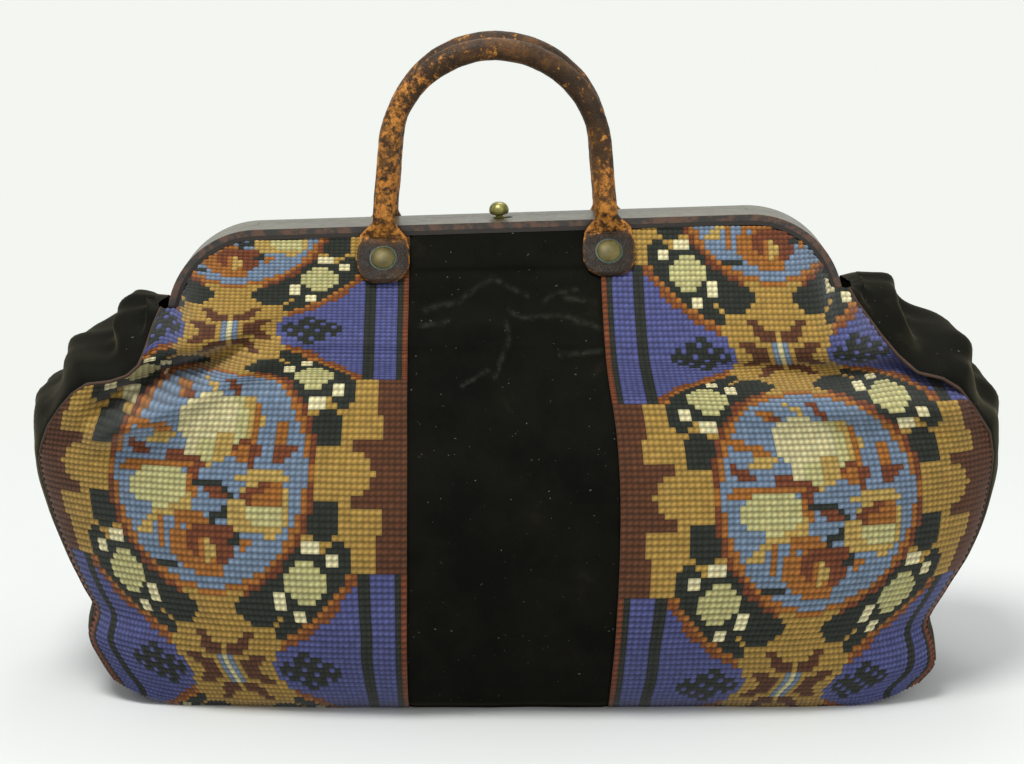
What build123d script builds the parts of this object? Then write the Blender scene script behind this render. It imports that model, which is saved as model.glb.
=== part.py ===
"""Carpet bag with a hinged metal frame, two leather handles and needlework panels.

Millimetres. X runs to the right, the front of the bag faces -Y, and Z is up.
The origin is on the floor under the middle of the bag.
"""
from build123d import *
from math import cos, pi, radians, sin, sqrt, tan
import os

# Hinged frame: two steel jaws, each a top web with a lip, arched down to a pin at each end
FRAME_X = -8.5
FRAME_TOP = 253.5
FRAME_HALF_WIDTH = 181.5
FRAME_DEPTH = 32.0
FRAME_RADIUS = 50.0
FRAME_TILT = 1.8
PIN_DROP = 54.5
PLATE = 1.6
LIP_DEPTH = 3.4
SEAM_Y = 6.0
SEAM_GAP = 0.3
WING_LENGTH = 30.0
WING_PLATE = 1.2
WING_HALF_WIDTH = 122.0
EYE_RADIUS = 7.5
LUG_DEPTH = 12.0
LUG_REACH = 9.0
PIN_RADIUS = 2.5
PIN_HEAD_RADIUS = 4.5
PIN_HEAD = 1.4
RUNNING_CLEARANCE = 0.06
SIDE_CLEARANCE = 0.25

# Cloth
CLOTH = 2.6
GUSSET_CLOTH = 1.6
LINING_CLOTH = 0.8
LINING_GAP = 2.4
TOP_SLOPE = 37.0
FOLD_Z = 222.0
BAND_Z = 195.0
BAND_GAP = 0.5
STRIP_GAP = 0.3
WELT_HEIGHT = 2.2
WELT_THICK = 1.3

# Body: half width at the widest, how deep and where the widest level lies
BODY_HALF_WIDTH = 252.0
BODY_HALF_DEPTH = 98.0
GUSSET_BULGE = 10.0
BOARD_LENGTH = 320.0
BOARD_WIDTH = 100.0
BOARD_THICK = 2.4

# Handles
HANDLE_X = -12.1
HANDLE_RADIUS = 56.0
HANDLE_ROLL = 5.9
HANDLE_SPLAY = 5.0
HANDLE_CENTRE_Z = 289.6
HANDLE_SETBACK = 2.6
NECK_HEIGHT = 13.0
NECK_WIDTH = 22.0
NECK_THICK = 3.6
TAB_THICK = 3.2
TAB_RADIUS = 14.0
HINGE_DROP = 1.5
STUD_DROP = 14.3
CREASE_GAP = 0.8
SKIVED = 1.5
STUD_HEAD_RADIUS = 6.35
STUD_HEAD = 2.0
STUD_SHANK_RADIUS = 1.8
STUD_HOLE_CLEARANCE = 0.1
WASHER_SIZE = 9.0
WASHER_THICK = 1.0

# Clasp: a knob that slides in a slot and carries a bolt under the front web
KNOB_X = -1.6
KNOB_Y = 0.0
KNOB_RADIUS = 5.3
KNOB_HEIGHT = 8.5
STEM_RADIUS = 2.0
COLLAR_RADIUS = 3.4
CLASP_TRAVEL = 5.0
SLOT_CLEARANCE = 0.3
BOLT_THICK = 1.4
BOLT_LENGTH = 22.0
BOLT_DEPTH = 8.0
KEEPER_THICK = 1.2
KEEPER_HEIGHT = 6.0
KEEPER_WIDTH = 14.0
CATCH_CLEARANCE = 0.4
SPRING_THICK = 0.5

# Derived places in the frame's own axes, which are level until the tilt is applied
LIP_INNER_Y = -FRAME_DEPTH / 2 + 1.4
CLOTH_TOP_Z = FRAME_TOP - LIP_DEPTH - WELT_HEIGHT - 0.25
CLOTH_TOP_Y = FRAME_DEPTH / 2 + 0.4
ARCH_CENTRE_X = FRAME_HALF_WIDTH - FRAME_RADIUS
ARCH_CENTRE_Z = FRAME_TOP - FRAME_RADIUS
PIN_Z = FRAME_TOP - PIN_DROP
SLOPE_OUT = sin(radians(TOP_SLOPE))
SLOPE_DOWN = cos(radians(TOP_SLOPE))
TILT_TAN = tan(radians(FRAME_TILT))

# The frame leans a little: its right side stands higher than its left
FRAME_PLACE = Pos(FRAME_X, 0, FRAME_TOP) * Rot(0, -FRAME_TILT, 0) * Pos(0, 0, -FRAME_TOP)

# Soft form, by hand, as (height, value) stations. Left and right differ as on the real bag.
CENTRE_DEPTH = [(0, 0.70), (6, 0.78), (18, 0.87), (40, 0.97), (65, 1.0), (95, 0.98), (130, 0.90),
                (165, 0.75), (195, 0.573)]
VELVET_EDGE = {-1: [(0, 58.0), (120, 57.0), (190, 57.5), (254, 57.4)],
               1: [(0, 48.0), (50, 50.5), (110, 52.5), (150, 51.0), (190, 45.5), (254, 43.0)]}
# How far inside the widest half width the side seam runs, over the height
OUTER_EDGE = {-1: [(8, 38), (20, 30), (35, 22), (49, 25), (60, 19), (75, 12), (100, 4), (133, -2),
                   (165, 3), (195, 9), (254, 12)],
              1: [(8, 40), (20, 29), (31, 29), (42, 32), (58, 22), (75, 12), (103, 3), (133, 0),
                  (165, 5), (195, 20), (254, 23)]}
SEAM_DEPTH = [(0, 62), (20, 58), (40, 51), (60, 45), (100, 43), (138, 46), (160, 52), (185, 52)]
# Where the panel's top edge leaves the frame, as (share of the way from the frame's leg to the widest
# half width, height, depth) rows along the seam
FRONT_SEAM = {-1: [(0.024, 207, 16), (0.113, 202.5, 26), (0.177, 195, 37), (0.258, 183, 53),
                   (0.371, 177, 63), (0.548, 176.5, 66), (0.677, 171, 65), (0.79, 163, 62),
                   (0.903, 153, 58), (0.984, 142, 52), (1.032, 133, 47)],
              1: [(0.051, 218, 16), (0.101, 211, 20), (0.177, 203, 25), (0.253, 195, 31),
                  (0.354, 186, 40), (0.468, 179, 50), (0.62, 177.5, 57), (0.734, 172, 57),
                  (0.861, 159, 54), (0.962, 147, 50), (1, 134, 46)]}
BACK_SEAM = {-1: [(0.024, 207, 16), (0.145, 205, 29), (0.274, 203, 41), (0.452, 194, 52),
                  (0.629, 181, 57), (0.806, 165, 58), (0.952, 149, 55), (1.032, 133, 47)],
             1: [(0.051, 218, 16), (0.165, 217, 31), (0.291, 213, 43), (0.443, 204, 52),
                 (0.62, 190, 57), (0.81, 170, 58), (0.937, 151, 54), (1, 134, 46)]}
# Creases across the upper front: (x, z) at each end, how deep, how wide
LEFT_CREASE = ((-206, 172), (-106, 194), 15.0, 9.0)
RIGHT_CREASE = ((216, 174), (76, 181), 11.0, 8.0)
MIDDLE_CREASE = ((-60, 214), (48, 216), 2.5, 7.0)
CORNER_LIFT = 17.0
CORNER_START = 168.0

# How finely the soft faces are cut
STRIP_COLUMNS = 6
OUTER_COLUMNS = 4
VELVET_COLUMNS = 3
SIDE_ROWS = 11
BASE_ROWS = 1
BAND_ROWS = 2
GUSSET_COLUMNS = 8
ROLL_SIDES = 10
ARCH_STEPS = 12
TURNED_SIDES = 12


def frame_height(x, level):
    """World height of a line that is level in the frame, over world x."""
    return level + (x - FRAME_X) * TILT_TAN


def smooth(q):
    q = min(max(q, 0.0), 1.0)
    return q * q * (3 - 2 * q)


def seam_rows(table, side):
    """A seam's rows as (distance out, height, depth)."""
    leg = FRAME_HALF_WIDTH + side * FRAME_X
    return [(leg + share * (BODY_HALF_WIDTH - leg), height, depth) for share, height, depth in table[side]]


SEAMS = {-1: {side: seam_rows(FRONT_SEAM, side) for side in (-1, 1)},
         1: {side: seam_rows(BACK_SEAM, side) for side in (-1, 1)}}


def station(table, value):
    """Smooth line through (place, value) stations, level beyond the ends."""
    if value <= table[0][0]:
        return table[0][1]
    if value >= table[-1][0]:
        return table[-1][1]
    k = max(i for i in range(len(table) - 1) if table[i][0] <= value)
    (x0, y0), (x1, y1) = table[k], table[k + 1]
    before = table[k - 1] if k else (x0 - (x1 - x0), y0)
    after = table[k + 2] if k + 2 < len(table) else (x1 + (x1 - x0), y1)
    m0 = (y1 - before[1]) / (x1 - before[0])
    m1 = (after[1] - y0) / (after[0] - x0)
    h = x1 - x0
    q = (value - x0) / h
    return (y0 * (2 * q**3 - 3 * q**2 + 1) + m0 * h * (q**3 - 2 * q**2 + q)
            + y1 * (3 * q**2 - 2 * q**3) + m1 * h * (q**3 - q**2))


def straight(table, value):
    """Plain linear reading of (place, value...) rows, held at the ends."""
    if value <= table[0][0]:
        return table[0][1:]
    for low, high in zip(table, table[1:]):
        if value <= high[0]:
            q = (value - low[0]) / (high[0] - low[0])
            return tuple(a + (b - a) * q for a, b in zip(low[1:], high[1:]))
    return table[-1][1:]


def arch_drop(x):
    """How far the cloth's top edge lies under the frame's top line, over the frame's own x."""
    radius = FRAME_RADIUS - (FRAME_TOP - CLOTH_TOP_Z)
    over = abs(x) - ARCH_CENTRE_X
    if over <= 0:
        return CLOTH_TOP_Z
    return ARCH_CENTRE_Z + sqrt(max(radius**2 - over**2, 0.0))


def top_edge(x, face):
    """(height, depth) of the cloth's upper edge over world x, on the front (-1) or back (1)."""
    seam = SEAMS[face][1 if x > 0 else -1]
    if abs(x) >= seam[0][0]:
        return straight(seam, abs(x))
    level = frame_height(x, arch_drop(x - FRAME_X))
    return max(level, seam[0][1]), CLOTH_TOP_Y


def belly_depth(x, z):
    """Depth of the front or back face, before its top edge pulls it in."""
    side = 1 if x > 0 else -1
    fold = frame_height(x, FOLD_Z)
    top = frame_height(x, CLOTH_TOP_Z)
    slope = SLOPE_OUT / SLOPE_DOWN
    if z >= fold:
        return CLOTH_TOP_Y + (top - z) * slope
    at_fold = CLOTH_TOP_Y + (top - fold) * slope
    low = station(CENTRE_DEPTH, min(z, BAND_Z)) * BODY_HALF_DEPTH
    middle = low
    if z > BAND_Z:
        q = (z - BAND_Z) / (fold - BAND_Z)
        middle = low + (at_fold - low) * q
    outer = BODY_HALF_WIDTH - station(OUTER_EDGE[side], z)
    seam = min(station(SEAM_DEPTH, z), middle)
    rho = min(abs(x) / outer, 1.0)
    return seam + (middle - seam) * (1 - rho**3.6) ** 0.75


def crease(x, z, line):
    """How far a crease pulls the face in (positive) or its lower lip pushes it out, at x, z."""
    (x0, z0), (x1, z1), depth, width = line
    run = (x - x0) / (x1 - x0)
    if run < -0.25 or run > 1.0:
        return 0.0
    off = z - (z0 + (z1 - z0) * run)
    fade = smooth((1.0 - run) / 0.8) * smooth((run + 0.25) / 0.25)
    pull = depth * 2.718 ** (-((off - 2) / width) ** 2)
    push = 0.5 * depth * 2.718 ** (-((off + 1.6 * width) / width) ** 2)
    return fade * (pull - push)


def face_point(x, z, face):
    """A point of the outer surface of the front or back."""
    top_z, top_depth = top_edge(x, face)
    depth = belly_depth(x, z)
    reach = 52.0
    q = min(max((top_z - z) / reach, 0.0), 1.0)
    ease = 1 - (1 - q) ** 2.4
    at_top = belly_depth(x, top_z)
    depth += (top_depth - at_top) * (1 - ease)
    if face < 0:
        below = smooth((frame_height(x, FOLD_Z) - z) / 10)
        depth -= below * sum(crease(x, z, line) for line in (LEFT_CREASE, RIGHT_CREASE, MIDDLE_CREASE))
    return (x, face * depth, z)


def base_height(x):
    """The flat bottom turns up softly towards its ends."""
    over = max(abs(x) - CORNER_START, 0.0) / (BODY_HALF_WIDTH * 0.88 - CORNER_START)
    return CORNER_LIFT * min(over, 1.2) ** 2.2


def column_x(share, side, z):
    """World x of a thread at a share of the way from the velvet's edge to the seam."""
    inner = station(VELVET_EDGE[side], z)
    outer = BODY_HALF_WIDTH - station(OUTER_EDGE[side], z)
    crowd = 1.12 * share - 0.12 * share**5
    return side * (inner + STRIP_GAP / 2 + (outer - inner) * crowd)


def velvet_x(share, z):
    left = STRIP_GAP / 2 - station(VELVET_EDGE[-1], z)
    right = station(VELVET_EDGE[1], z) - STRIP_GAP / 2
    return left + (right - left) * share


def top_of(thread, face):
    """Height at which a thread of the cloth meets the frame or the seam."""
    low, high = 120.0, FRAME_TOP + 10
    for _ in range(30):
        z = (low + high) / 2
        if z > top_edge(thread(z), face)[0]:
            high = z
        else:
            low = z
    return low


def spread(points, count):
    """count + 1 points evenly spaced along a run of points."""
    lengths = [0.0]
    for a, b in zip(points, points[1:]):
        lengths.append(lengths[-1] + sqrt(sum((p - q) ** 2 for p, q in zip(a, b))))
    chosen = []
    k = 0
    for i in range(count + 1):
        want = lengths[-1] * i / count
        while k < len(points) - 2 and lengths[k + 1] < want:
            k += 1
        span = lengths[k + 1] - lengths[k]
        q = (want - lengths[k]) / span if span else 0.0
        chosen.append(tuple(a + (b - a) * q for a, b in zip(points[k], points[k + 1])))
    return chosen


def side_run(thread, face, rows, high):
    """One thread's outer line from height high down to the base's edge."""
    steps = 60
    low = base_height(thread(0))
    zs = [high + (low - high) * i / steps for i in range(steps + 1)]
    return spread([face_point(thread(z), z, face) for z in zs], rows)


def lower_rows(thread, cap):
    """One thread from under the front band, down, across the bottom and up the back."""
    rows = []
    for face in (-1, 1):
        high = min(top_of(thread, face), cap)
        side = side_run(thread, face, SIDE_ROWS, high)
        foot = side[-1]
        base = [(foot[0], foot[1] * (1 - i / BASE_ROWS), foot[2]) for i in range(1, BASE_ROWS + 1)]
        rows.append(side + base)
    return rows[0] + rows[1][-2::-1]


def subtract(a, b):
    return tuple(p - q for p, q in zip(a, b))


def unit(v):
    length = sqrt(sum(p * p for p in v))
    return tuple(p / length for p in v) if length > 1e-9 else (0.0, 0.0, 0.0)


def across(a, b):
    return (a[1] * b[2] - a[2] * b[1], a[2] * b[0] - a[0] * b[2], a[0] * b[1] - a[1] * b[0])


def offset_grid(grid, distance):
    """The same grid moved along its own normals; a positive distance goes against the normals."""
    columns, rows = len(grid), len(grid[0])
    moved = []
    for i in range(columns):
        line = []
        for j in range(rows):
            along = subtract(grid[min(i + 1, columns - 1)][j], grid[max(i - 1, 0)][j])
            down = subtract(grid[i][min(j + 1, rows - 1)], grid[i][max(j - 1, 0)])
            normal = unit(across(along, down))
            line.append(tuple(p - distance * n for p, n in zip(grid[i][j], normal)))
        moved.append(line)
    return moved


def triangle(a, b, c):
    return Face(Wire.make_polygon([Vector(*a), Vector(*b), Vector(*c)], close=True))


def shell_between(outer, inner):
    """Closed solid between two grids of the same size."""
    columns, rows = len(outer), len(outer[0])
    faces = []
    for grid in (outer, inner):
        for i in range(columns - 1):
            for j in range(rows - 1):
                a, b = grid[i][j], grid[i + 1][j]
                c, d = grid[i + 1][j + 1], grid[i][j + 1]
                faces += [triangle(a, b, c), triangle(a, c, d)]
    rim = [(i, 0) for i in range(columns)] + [(columns - 1, j) for j in range(1, rows)]
    rim += [(i, rows - 1) for i in range(columns - 2, -1, -1)] + [(0, j) for j in range(rows - 2, 0, -1)]
    for (i, j), (k, m) in zip(rim, rim[1:] + rim[:1]):
        a, b, c, d = outer[i][j], outer[k][m], inner[k][m], inner[i][j]
        faces += [triangle(a, b, c), triangle(a, c, d)]
    return Solid(Shell(faces))


def behind(grid, distance):
    """Grid offset with its edges along the fold between band and lower shell kept level."""
    moved = offset_grid(grid, distance)
    for line, kept in zip(moved, grid):
        for j in (0, len(line) - 1):
            if BAND_Z - BAND_GAP - 0.01 < kept[j][2] < BAND_Z + 0.01:
                line[j] = (line[j][0], line[j][1], kept[j][2])
    return moved


def cloth(grid, thickness, way):
    """Cloth of one thickness behind an outer grid; way is -1 where the grid's own normals point in."""
    return shell_between(grid, behind(grid, thickness * way))


def strip_shares(side):
    """Shares of the threads: even up to where the seam leaves the band, then even to the seam."""
    low, high = 0.3, 1.0
    for _ in range(30):
        share = (low + high) / 2
        if top_of(lambda z: column_x(share, side, z), -1) > BAND_Z:
            low = share
        else:
            high = share
    inner = [low * i / STRIP_COLUMNS for i in range(STRIP_COLUMNS + 1)]
    return inner + [low + (1 - low) * i / OUTER_COLUMNS for i in range(1, OUTER_COLUMNS + 1)]


def threads(side):
    """The threads of one strip: side -1 or 1 for needlework, 0 for the velvet."""
    if side == 0:
        return [lambda z, s=i / VELVET_COLUMNS: velvet_x(s, z) for i in range(VELVET_COLUMNS + 1)]
    return [lambda z, s=s: column_x(s, side, z) for s in strip_shares(side)]


def lower_strip(side):
    grid = [lower_rows(thread, BAND_Z - BAND_GAP) for thread in threads(side)]
    return grid[::-1] if side < 0 else grid


def band_grid(side, face):
    """The top of a strip, from the frame down to where the lower shell starts."""
    chosen = threads(side)
    if side:
        chosen = chosen[:STRIP_COLUMNS + 1]
        last = chosen[-1]
        chosen[-1] = lambda z: last(z) - side * 2.0
    grid = []
    for thread in chosen:
        high = top_of(thread, face)
        fold = min(frame_height(thread(FOLD_Z), FOLD_Z), high - 0.25 * (high - BAND_Z))
        zs = [high, fold] + [fold + (BAND_Z - fold) * i / BAND_ROWS for i in range(1, BAND_ROWS + 1)]
        grid.append([face_point(thread(z), z, face) for z in zs])
    return grid[::-1] if side < 0 else grid


def seam_edge(side, face):
    """Outer and inner points of the panel's edge, from the frame's leg round to the base corner."""
    outer = lower_strip(side)
    inner = behind(outer, -CLOTH)
    end = -1 if face < 0 else 0
    seam = SEAMS[face][side][0]
    leg = (side * seam[0], face * seam[2], seam[1])
    shoulder = band_grid(side, face)[-1 if side > 0 else 0][0]
    shoulder = (shoulder[0] + side * 2.5, shoulder[1], shoulder[2] + 0.5)
    pairs = [(p, (p[0], p[1] - face * CLOTH, p[2])) for p in (leg, shoulder)]
    columns = range(STRIP_COLUMNS, STRIP_COLUMNS + OUTER_COLUMNS)
    if side < 0:
        outer, inner = outer[::-1], inner[::-1]
    row = 0 if face < 0 else -1
    pairs += [(outer[i][row], inner[i][row]) for i in columns]
    side_rows = range(SIDE_ROWS + 1)
    pairs += [(outer[-1][j if face < 0 else end - 1 - j], inner[-1][j if face < 0 else end - 1 - j])
              for j in side_rows]
    return pairs


def gusset_layers(side):
    """Outer and inner grid of the gathered side piece; its edges follow the panels' own edges."""
    front = seam_edge(side, -1)
    back = seam_edge(side, 1)
    rows = len(front) - 1
    grid = []
    for i in range(GUSSET_COLUMNS + 1):
        s = i / GUSSET_COLUMNS
        hump = (4 * s * (1 - s)) ** 0.7
        line = []
        for j, ((a, _), (b, _)) in enumerate(zip(front, back)):
            t = j / rows
            point = [p + (q - p) * s for p, q in zip(a, b)]
            upper = smooth((0.62 - t) / 0.3)
            gather = 4.0 * sin(t * 34.0 + 2.2 * s) * upper * hump
            bulge = GUSSET_BULGE * (1 - 0.7 * abs(2 * t - 1) ** 2) + gather
            point[0] += side * (bulge * hump + STRIP_GAP)
            point[2] += (9.0 * upper + 0.5 * gather) * hump
            line.append(tuple(point))
        grid.append(line)
    inner = offset_grid(grid, -side * GUSSET_CLOTH)
    for column, edge, face in ((0, front, -1), (-1, back, 1)):
        for j, (out, back_of) in enumerate(edge):
            run = unit(subtract(back_of, out))
            away = across(run, unit(subtract(edge[min(j + 1, rows)][0], edge[max(j - 1, 0)][0])))
            away = tuple(side * face * p for p in away)
            start = tuple(p + STRIP_GAP * q for p, q in zip(out, away))
            grid[column][j] = start
            inner[column][j] = tuple(p + GUSSET_CLOTH * q for p, q in zip(start, run))
    return grid, inner


def lining_grid():
    """Inside layer, from the front band's edge round the bottom to the back band's edge."""
    left, right = lower_strip(-1), lower_strip(1)
    inner = STRIP_COLUMNS - 2
    columns = left[:-inner] + left[-inner + 1::2] + right[:inner:2] + right[inner:]
    for edge, beside in ((0, 1), (-1, -2)):
        columns[edge] = [tuple(p + (q - p) * 0.2 for p, q in zip(a, b))
                         for a, b in zip(columns[edge], columns[beside])]
    return columns


def arch_wire(inset, low):
    """Arch line in the frame's own X-Z plane, set in from the frame's outer edge, down to height low."""
    half = FRAME_HALF_WIDTH - inset
    radius = FRAME_RADIUS - inset
    top = FRAME_TOP - inset
    left = Line((-half, low), (-half, ARCH_CENTRE_Z))
    left_arc = ThreePointArc((-half, ARCH_CENTRE_Z), (-ARCH_CENTRE_X - radius * sin(radians(45)),
                             ARCH_CENTRE_Z + radius * sin(radians(45))), (-ARCH_CENTRE_X, top))
    bar = Line((-ARCH_CENTRE_X, top), (ARCH_CENTRE_X, top))
    right_arc = ThreePointArc((ARCH_CENTRE_X, top), (ARCH_CENTRE_X + radius * sin(radians(45)),
                              ARCH_CENTRE_Z + radius * sin(radians(45))), (half, ARCH_CENTRE_Z))
    right = Line((half, ARCH_CENTRE_Z), (half, low))
    return [left, left_arc, bar, right_arc, right]


def arch_plate(outer, inner, low, y0, y1):
    """Plate between two arch lines, from depth y0 to depth y1."""
    rim = arch_wire(outer, low)
    core = arch_wire(inner, low)
    ends = [Line(rim[0] @ 0, core[0] @ 0), Line(rim[-1] @ 1, core[-1] @ 1)]
    profile = make_face(rim + core + ends)
    plane = Plane(origin=(0, y0, 0), x_dir=(1, 0, 0), z_dir=(0, -1, 0))
    return extrude(plane * profile, -(y1 - y0))


def x_rod(radius, x0, x1, y, z):
    """Round rod along X."""
    return Pos(x0, y, z) * Rot(0, 90, 0) * Cylinder(radius, x1 - x0, align=(Align.CENTER, Align.CENTER, Align.MIN))


def block(x0, x1, y0, y1, z0, z1):
    return Pos(x0, y0, z0) * Box(x1 - x0, y1 - y0, z1 - z0, align=(Align.MIN, Align.MIN, Align.MIN))


def slope_plane(x, face, drop, lift=0.0):
    """Plane lying on the sloped top of the cloth, in the frame's own axes, drop below its upper edge.

    Its own x runs across the bag, its own y up the slope and its z out of the cloth.
    """
    y = face * (CLOTH_TOP_Y + drop * SLOPE_OUT + lift * SLOPE_DOWN)
    z = CLOTH_TOP_Z - drop * SLOPE_DOWN + lift * SLOPE_OUT
    return Plane(origin=(x, y, z), x_dir=(-face, 0, 0), z_dir=(0, face * SLOPE_DOWN, SLOPE_OUT))


def wing(face):
    """Splayed plate behind the cloth that the handle studs pass through."""
    inner_lift = -(CLOTH + 0.15)
    start = -4.3
    length = WING_LENGTH - start
    plane = slope_plane(0, face, start + length / 2, inner_lift)
    plate = plane * Pos(0, 0, -WING_PLATE / 2) * Box(2 * WING_HALF_WIDTH, length, WING_PLATE)
    return plate


def foot_x():
    """The frame's own x of the left and right stud lines."""
    spread_out = HANDLE_RADIUS * cos(radians(HANDLE_SPLAY)) + 4.0
    return [HANDLE_X - FRAME_X - spread_out, HANDLE_X - FRAME_X + spread_out]


def stud_holes(face, radius, depth):
    """Round cutters through everything on the slope at both studs."""
    cutters = []
    for x in foot_x():
        plane = slope_plane(x, face, STUD_DROP)
        cutters.append(plane * Cylinder(radius, depth))
    return cutters


def jaw(face):
    """One half of the frame: top web, lip, wing and hinge eyes."""
    front = face < 0
    outer_y = face * FRAME_DEPTH / 2
    inner_y = SEAM_Y - SEAM_GAP / 2 if front else SEAM_Y + SEAM_GAP / 2
    leg_inner_y = -SEAM_GAP / 2 if front else SEAM_GAP / 2
    low = PIN_Z
    web = arch_plate(0, PLATE, low, *sorted((outer_y, leg_inner_y)))
    bar = ARCH_CENTRE_X + (0 if front else SIDE_CLEARANCE)
    if front:
        web += block(-bar, bar, leg_inner_y, inner_y, FRAME_TOP - PLATE, FRAME_TOP)
    else:
        web -= block(-bar, bar, leg_inner_y - 1, inner_y, FRAME_TOP - 2 * PLATE, FRAME_TOP + 1)
    lip_inner = face * -LIP_INNER_Y
    lip = arch_plate(0, LIP_DEPTH, low, *sorted((outer_y, lip_inner)))
    body = web + lip + wing(face)
    for side in (-1, 1):
        leg_face = side * FRAME_HALF_WIDTH
        x0, x1 = sorted((leg_face, leg_face - side * PLATE))
        trim_z = PIN_Z + EYE_RADIUS + 1.0
        if front:
            body += x_rod(EYE_RADIUS, x0, x1, 0, PIN_Z)
        else:
            body -= block(x0 - LIP_DEPTH, x1 + LIP_DEPTH, -1, FRAME_DEPTH, low - 1, trim_z)
            lug_out = leg_face - side * (PLATE + SIDE_CLEARANCE)
            a, b = sorted((lug_out, lug_out - side * PLATE))
            body += x_rod(EYE_RADIUS, a, b, 0, PIN_Z)
            body += block(a, b, leg_inner_y, LUG_DEPTH, PIN_Z, trim_z + LUG_REACH)
    hole = PIN_RADIUS + RUNNING_CLEARANCE
    span = FRAME_HALF_WIDTH + 10
    body -= x_rod(hole, -span, span, 0, PIN_Z)
    if front:
        reach = STEM_RADIUS + SLOT_CLEARANCE
        slot = SlotOverall(CLASP_TRAVEL + 2 * reach, 2 * reach)
        cutter = extrude(slot, PLATE * 4, both=True)
        body -= Pos(KNOB_X + CLASP_TRAVEL / 2, KNOB_Y, FRAME_TOP) * cutter
    for cutter in stud_holes(face, STUD_SHANK_RADIUS + STUD_HOLE_CLEARANCE, 20):
        body -= cutter
    return FRAME_PLACE * body


def welt(face):
    """Leather edging that covers the cloth's raw edge under the lip."""
    near = FRAME_DEPTH / 2 + 0.3
    y0, y1 = sorted((face * near, face * (near - WELT_THICK)))
    return FRAME_PLACE * arch_plate(LIP_DEPTH + 0.05, LIP_DEPTH + WELT_HEIGHT, PIN_Z + 3, y0, y1)


def ring(centre, wide, deep, sides):
    """Points round an oval with the half axes wide and deep."""
    turns = [2 * pi * (k + 0.5) / sides for k in range(sides)]
    return [tuple(centre + wide * cos(turn) + deep * sin(turn)) for turn in turns]


def skin(rings):
    """Closed solid through rings of points, with a flat cap at each end."""
    faces = [Face(Wire.make_polygon([Vector(*p) for p in end], close=True)) for end in (rings[0], rings[-1])]
    for near, far in zip(rings, rings[1:]):
        for k, corner in enumerate(near):
            beside = (k + 1) % len(near)
            faces.append(triangle(corner, near[beside], far[beside]))
            faces.append(triangle(corner, far[beside], far[k]))
    return Solid(Shell(faces))


def turned(rows):
    """Many-sided turned head on the Z axis through (radius, height) rows."""
    return skin([ring(Vector(0, 0, height), Vector(radius, 0, 0), Vector(0, radius, 0), TURNED_SIDES)
                 for radius, height in rows])


def hinge_pin(side):
    """Rivet through the eyes of both jaws at one end of the frame."""
    outer = FRAME_HALF_WIDTH + SIDE_CLEARANCE
    inner = FRAME_HALF_WIDTH - 2 * PLATE - 2 * SIDE_CLEARANCE
    shank = x_rod(PIN_RADIUS, inner - PIN_HEAD, outer, 0, PIN_Z)
    along = Rot(0, 90, 0) * turned([(PIN_HEAD_RADIUS, 0), (PIN_HEAD_RADIUS * 0.7, PIN_HEAD)])
    inside = Rot(0, 90, 0) * turned([(PIN_HEAD_RADIUS * 0.85, -PIN_HEAD), (PIN_HEAD_RADIUS * 0.85, 0)])
    rivet = shank + Pos(outer, 0, PIN_Z) * along + Pos(inner, 0, PIN_Z) * inside
    if side < 0:
        rivet = mirror(rivet, about=Plane.YZ)
    return rivet


def tab(face, x):
    """Round leather tab that the stud holds down on the cloth."""
    plane = slope_plane(x, face, STUD_DROP)
    neck = STUD_DROP - HINGE_DROP - (NECK_THICK / 2 + CREASE_GAP)
    turns = [pi * (1 + k / TURNED_SIDES * 2) for k in range(TURNED_SIDES // 2 + 1)]
    rim = [(TAB_RADIUS * cos(turn), TAB_RADIUS * sin(turn)) for turn in turns]
    outline = Polyline(*rim, (NECK_WIDTH / 2, neck), (-NECK_WIDTH / 2, neck), close=True)
    leather = extrude(make_face(outline), TAB_THICK)
    leather -= Cylinder(STUD_SHANK_RADIUS + STUD_HOLE_CLEARANCE, 20)
    pare = make_face(Polyline((neck - 4.5, TAB_THICK), (neck + 1, TAB_THICK), (neck + 1, SKIVED), (neck, SKIVED),
                              close=True))
    leather -= extrude(Plane.YZ * pare, TAB_RADIUS, both=True)
    return plane * Pos(0, 0, 0.1) * leather


def stud(face, x):
    """Domed brass stud with its shank, in the frame's own axes."""
    plane = slope_plane(x, face, STUD_DROP)
    end = -(TAB_THICK + CLOTH + WING_PLATE + WASHER_THICK + 0.7)
    head = turned([(STUD_HEAD_RADIUS, 0), (STUD_HEAD_RADIUS * 0.8, STUD_HEAD * 0.6),
                   (STUD_HEAD_RADIUS * 0.4, STUD_HEAD)])
    shank = Cylinder(STUD_SHANK_RADIUS, -end, align=(Align.CENTER, Align.CENTER, Align.MAX))
    return plane * Pos(0, 0, TAB_THICK + 0.15) * (head + shank)


def washer(face, x):
    """Square burr plate inside the bag, round the stud's end."""
    plane = slope_plane(x, face, STUD_DROP, -(CLOTH + 0.15 + WING_PLATE + 0.05))
    plate = Box(WASHER_SIZE, WASHER_SIZE, WASHER_THICK, align=(Align.CENTER, Align.CENTER, Align.MAX))
    plate -= Cylinder(STUD_SHANK_RADIUS + 0.02, WASHER_THICK * 4)
    return plane * plate


def both(maker, face):
    left, right = foot_x()
    return FRAME_PLACE * Compound([maker(face, left), maker(face, right)])


def band(side, face):
    """Cloth from the frame down to the lower shell, punched where a stud passes."""
    piece = cloth(band_grid(side, face), CLOTH, face)
    for cutter in stud_holes(face, STUD_SHANK_RADIUS + STUD_HOLE_CLEARANCE, 20):
        piece -= FRAME_PLACE * cutter
    return piece


def world(x, y, z):
    """World place of a point given in the frame's own axes."""
    turned = FRAME_PLACE * Pos(x, y, z)
    return turned.position


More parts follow.
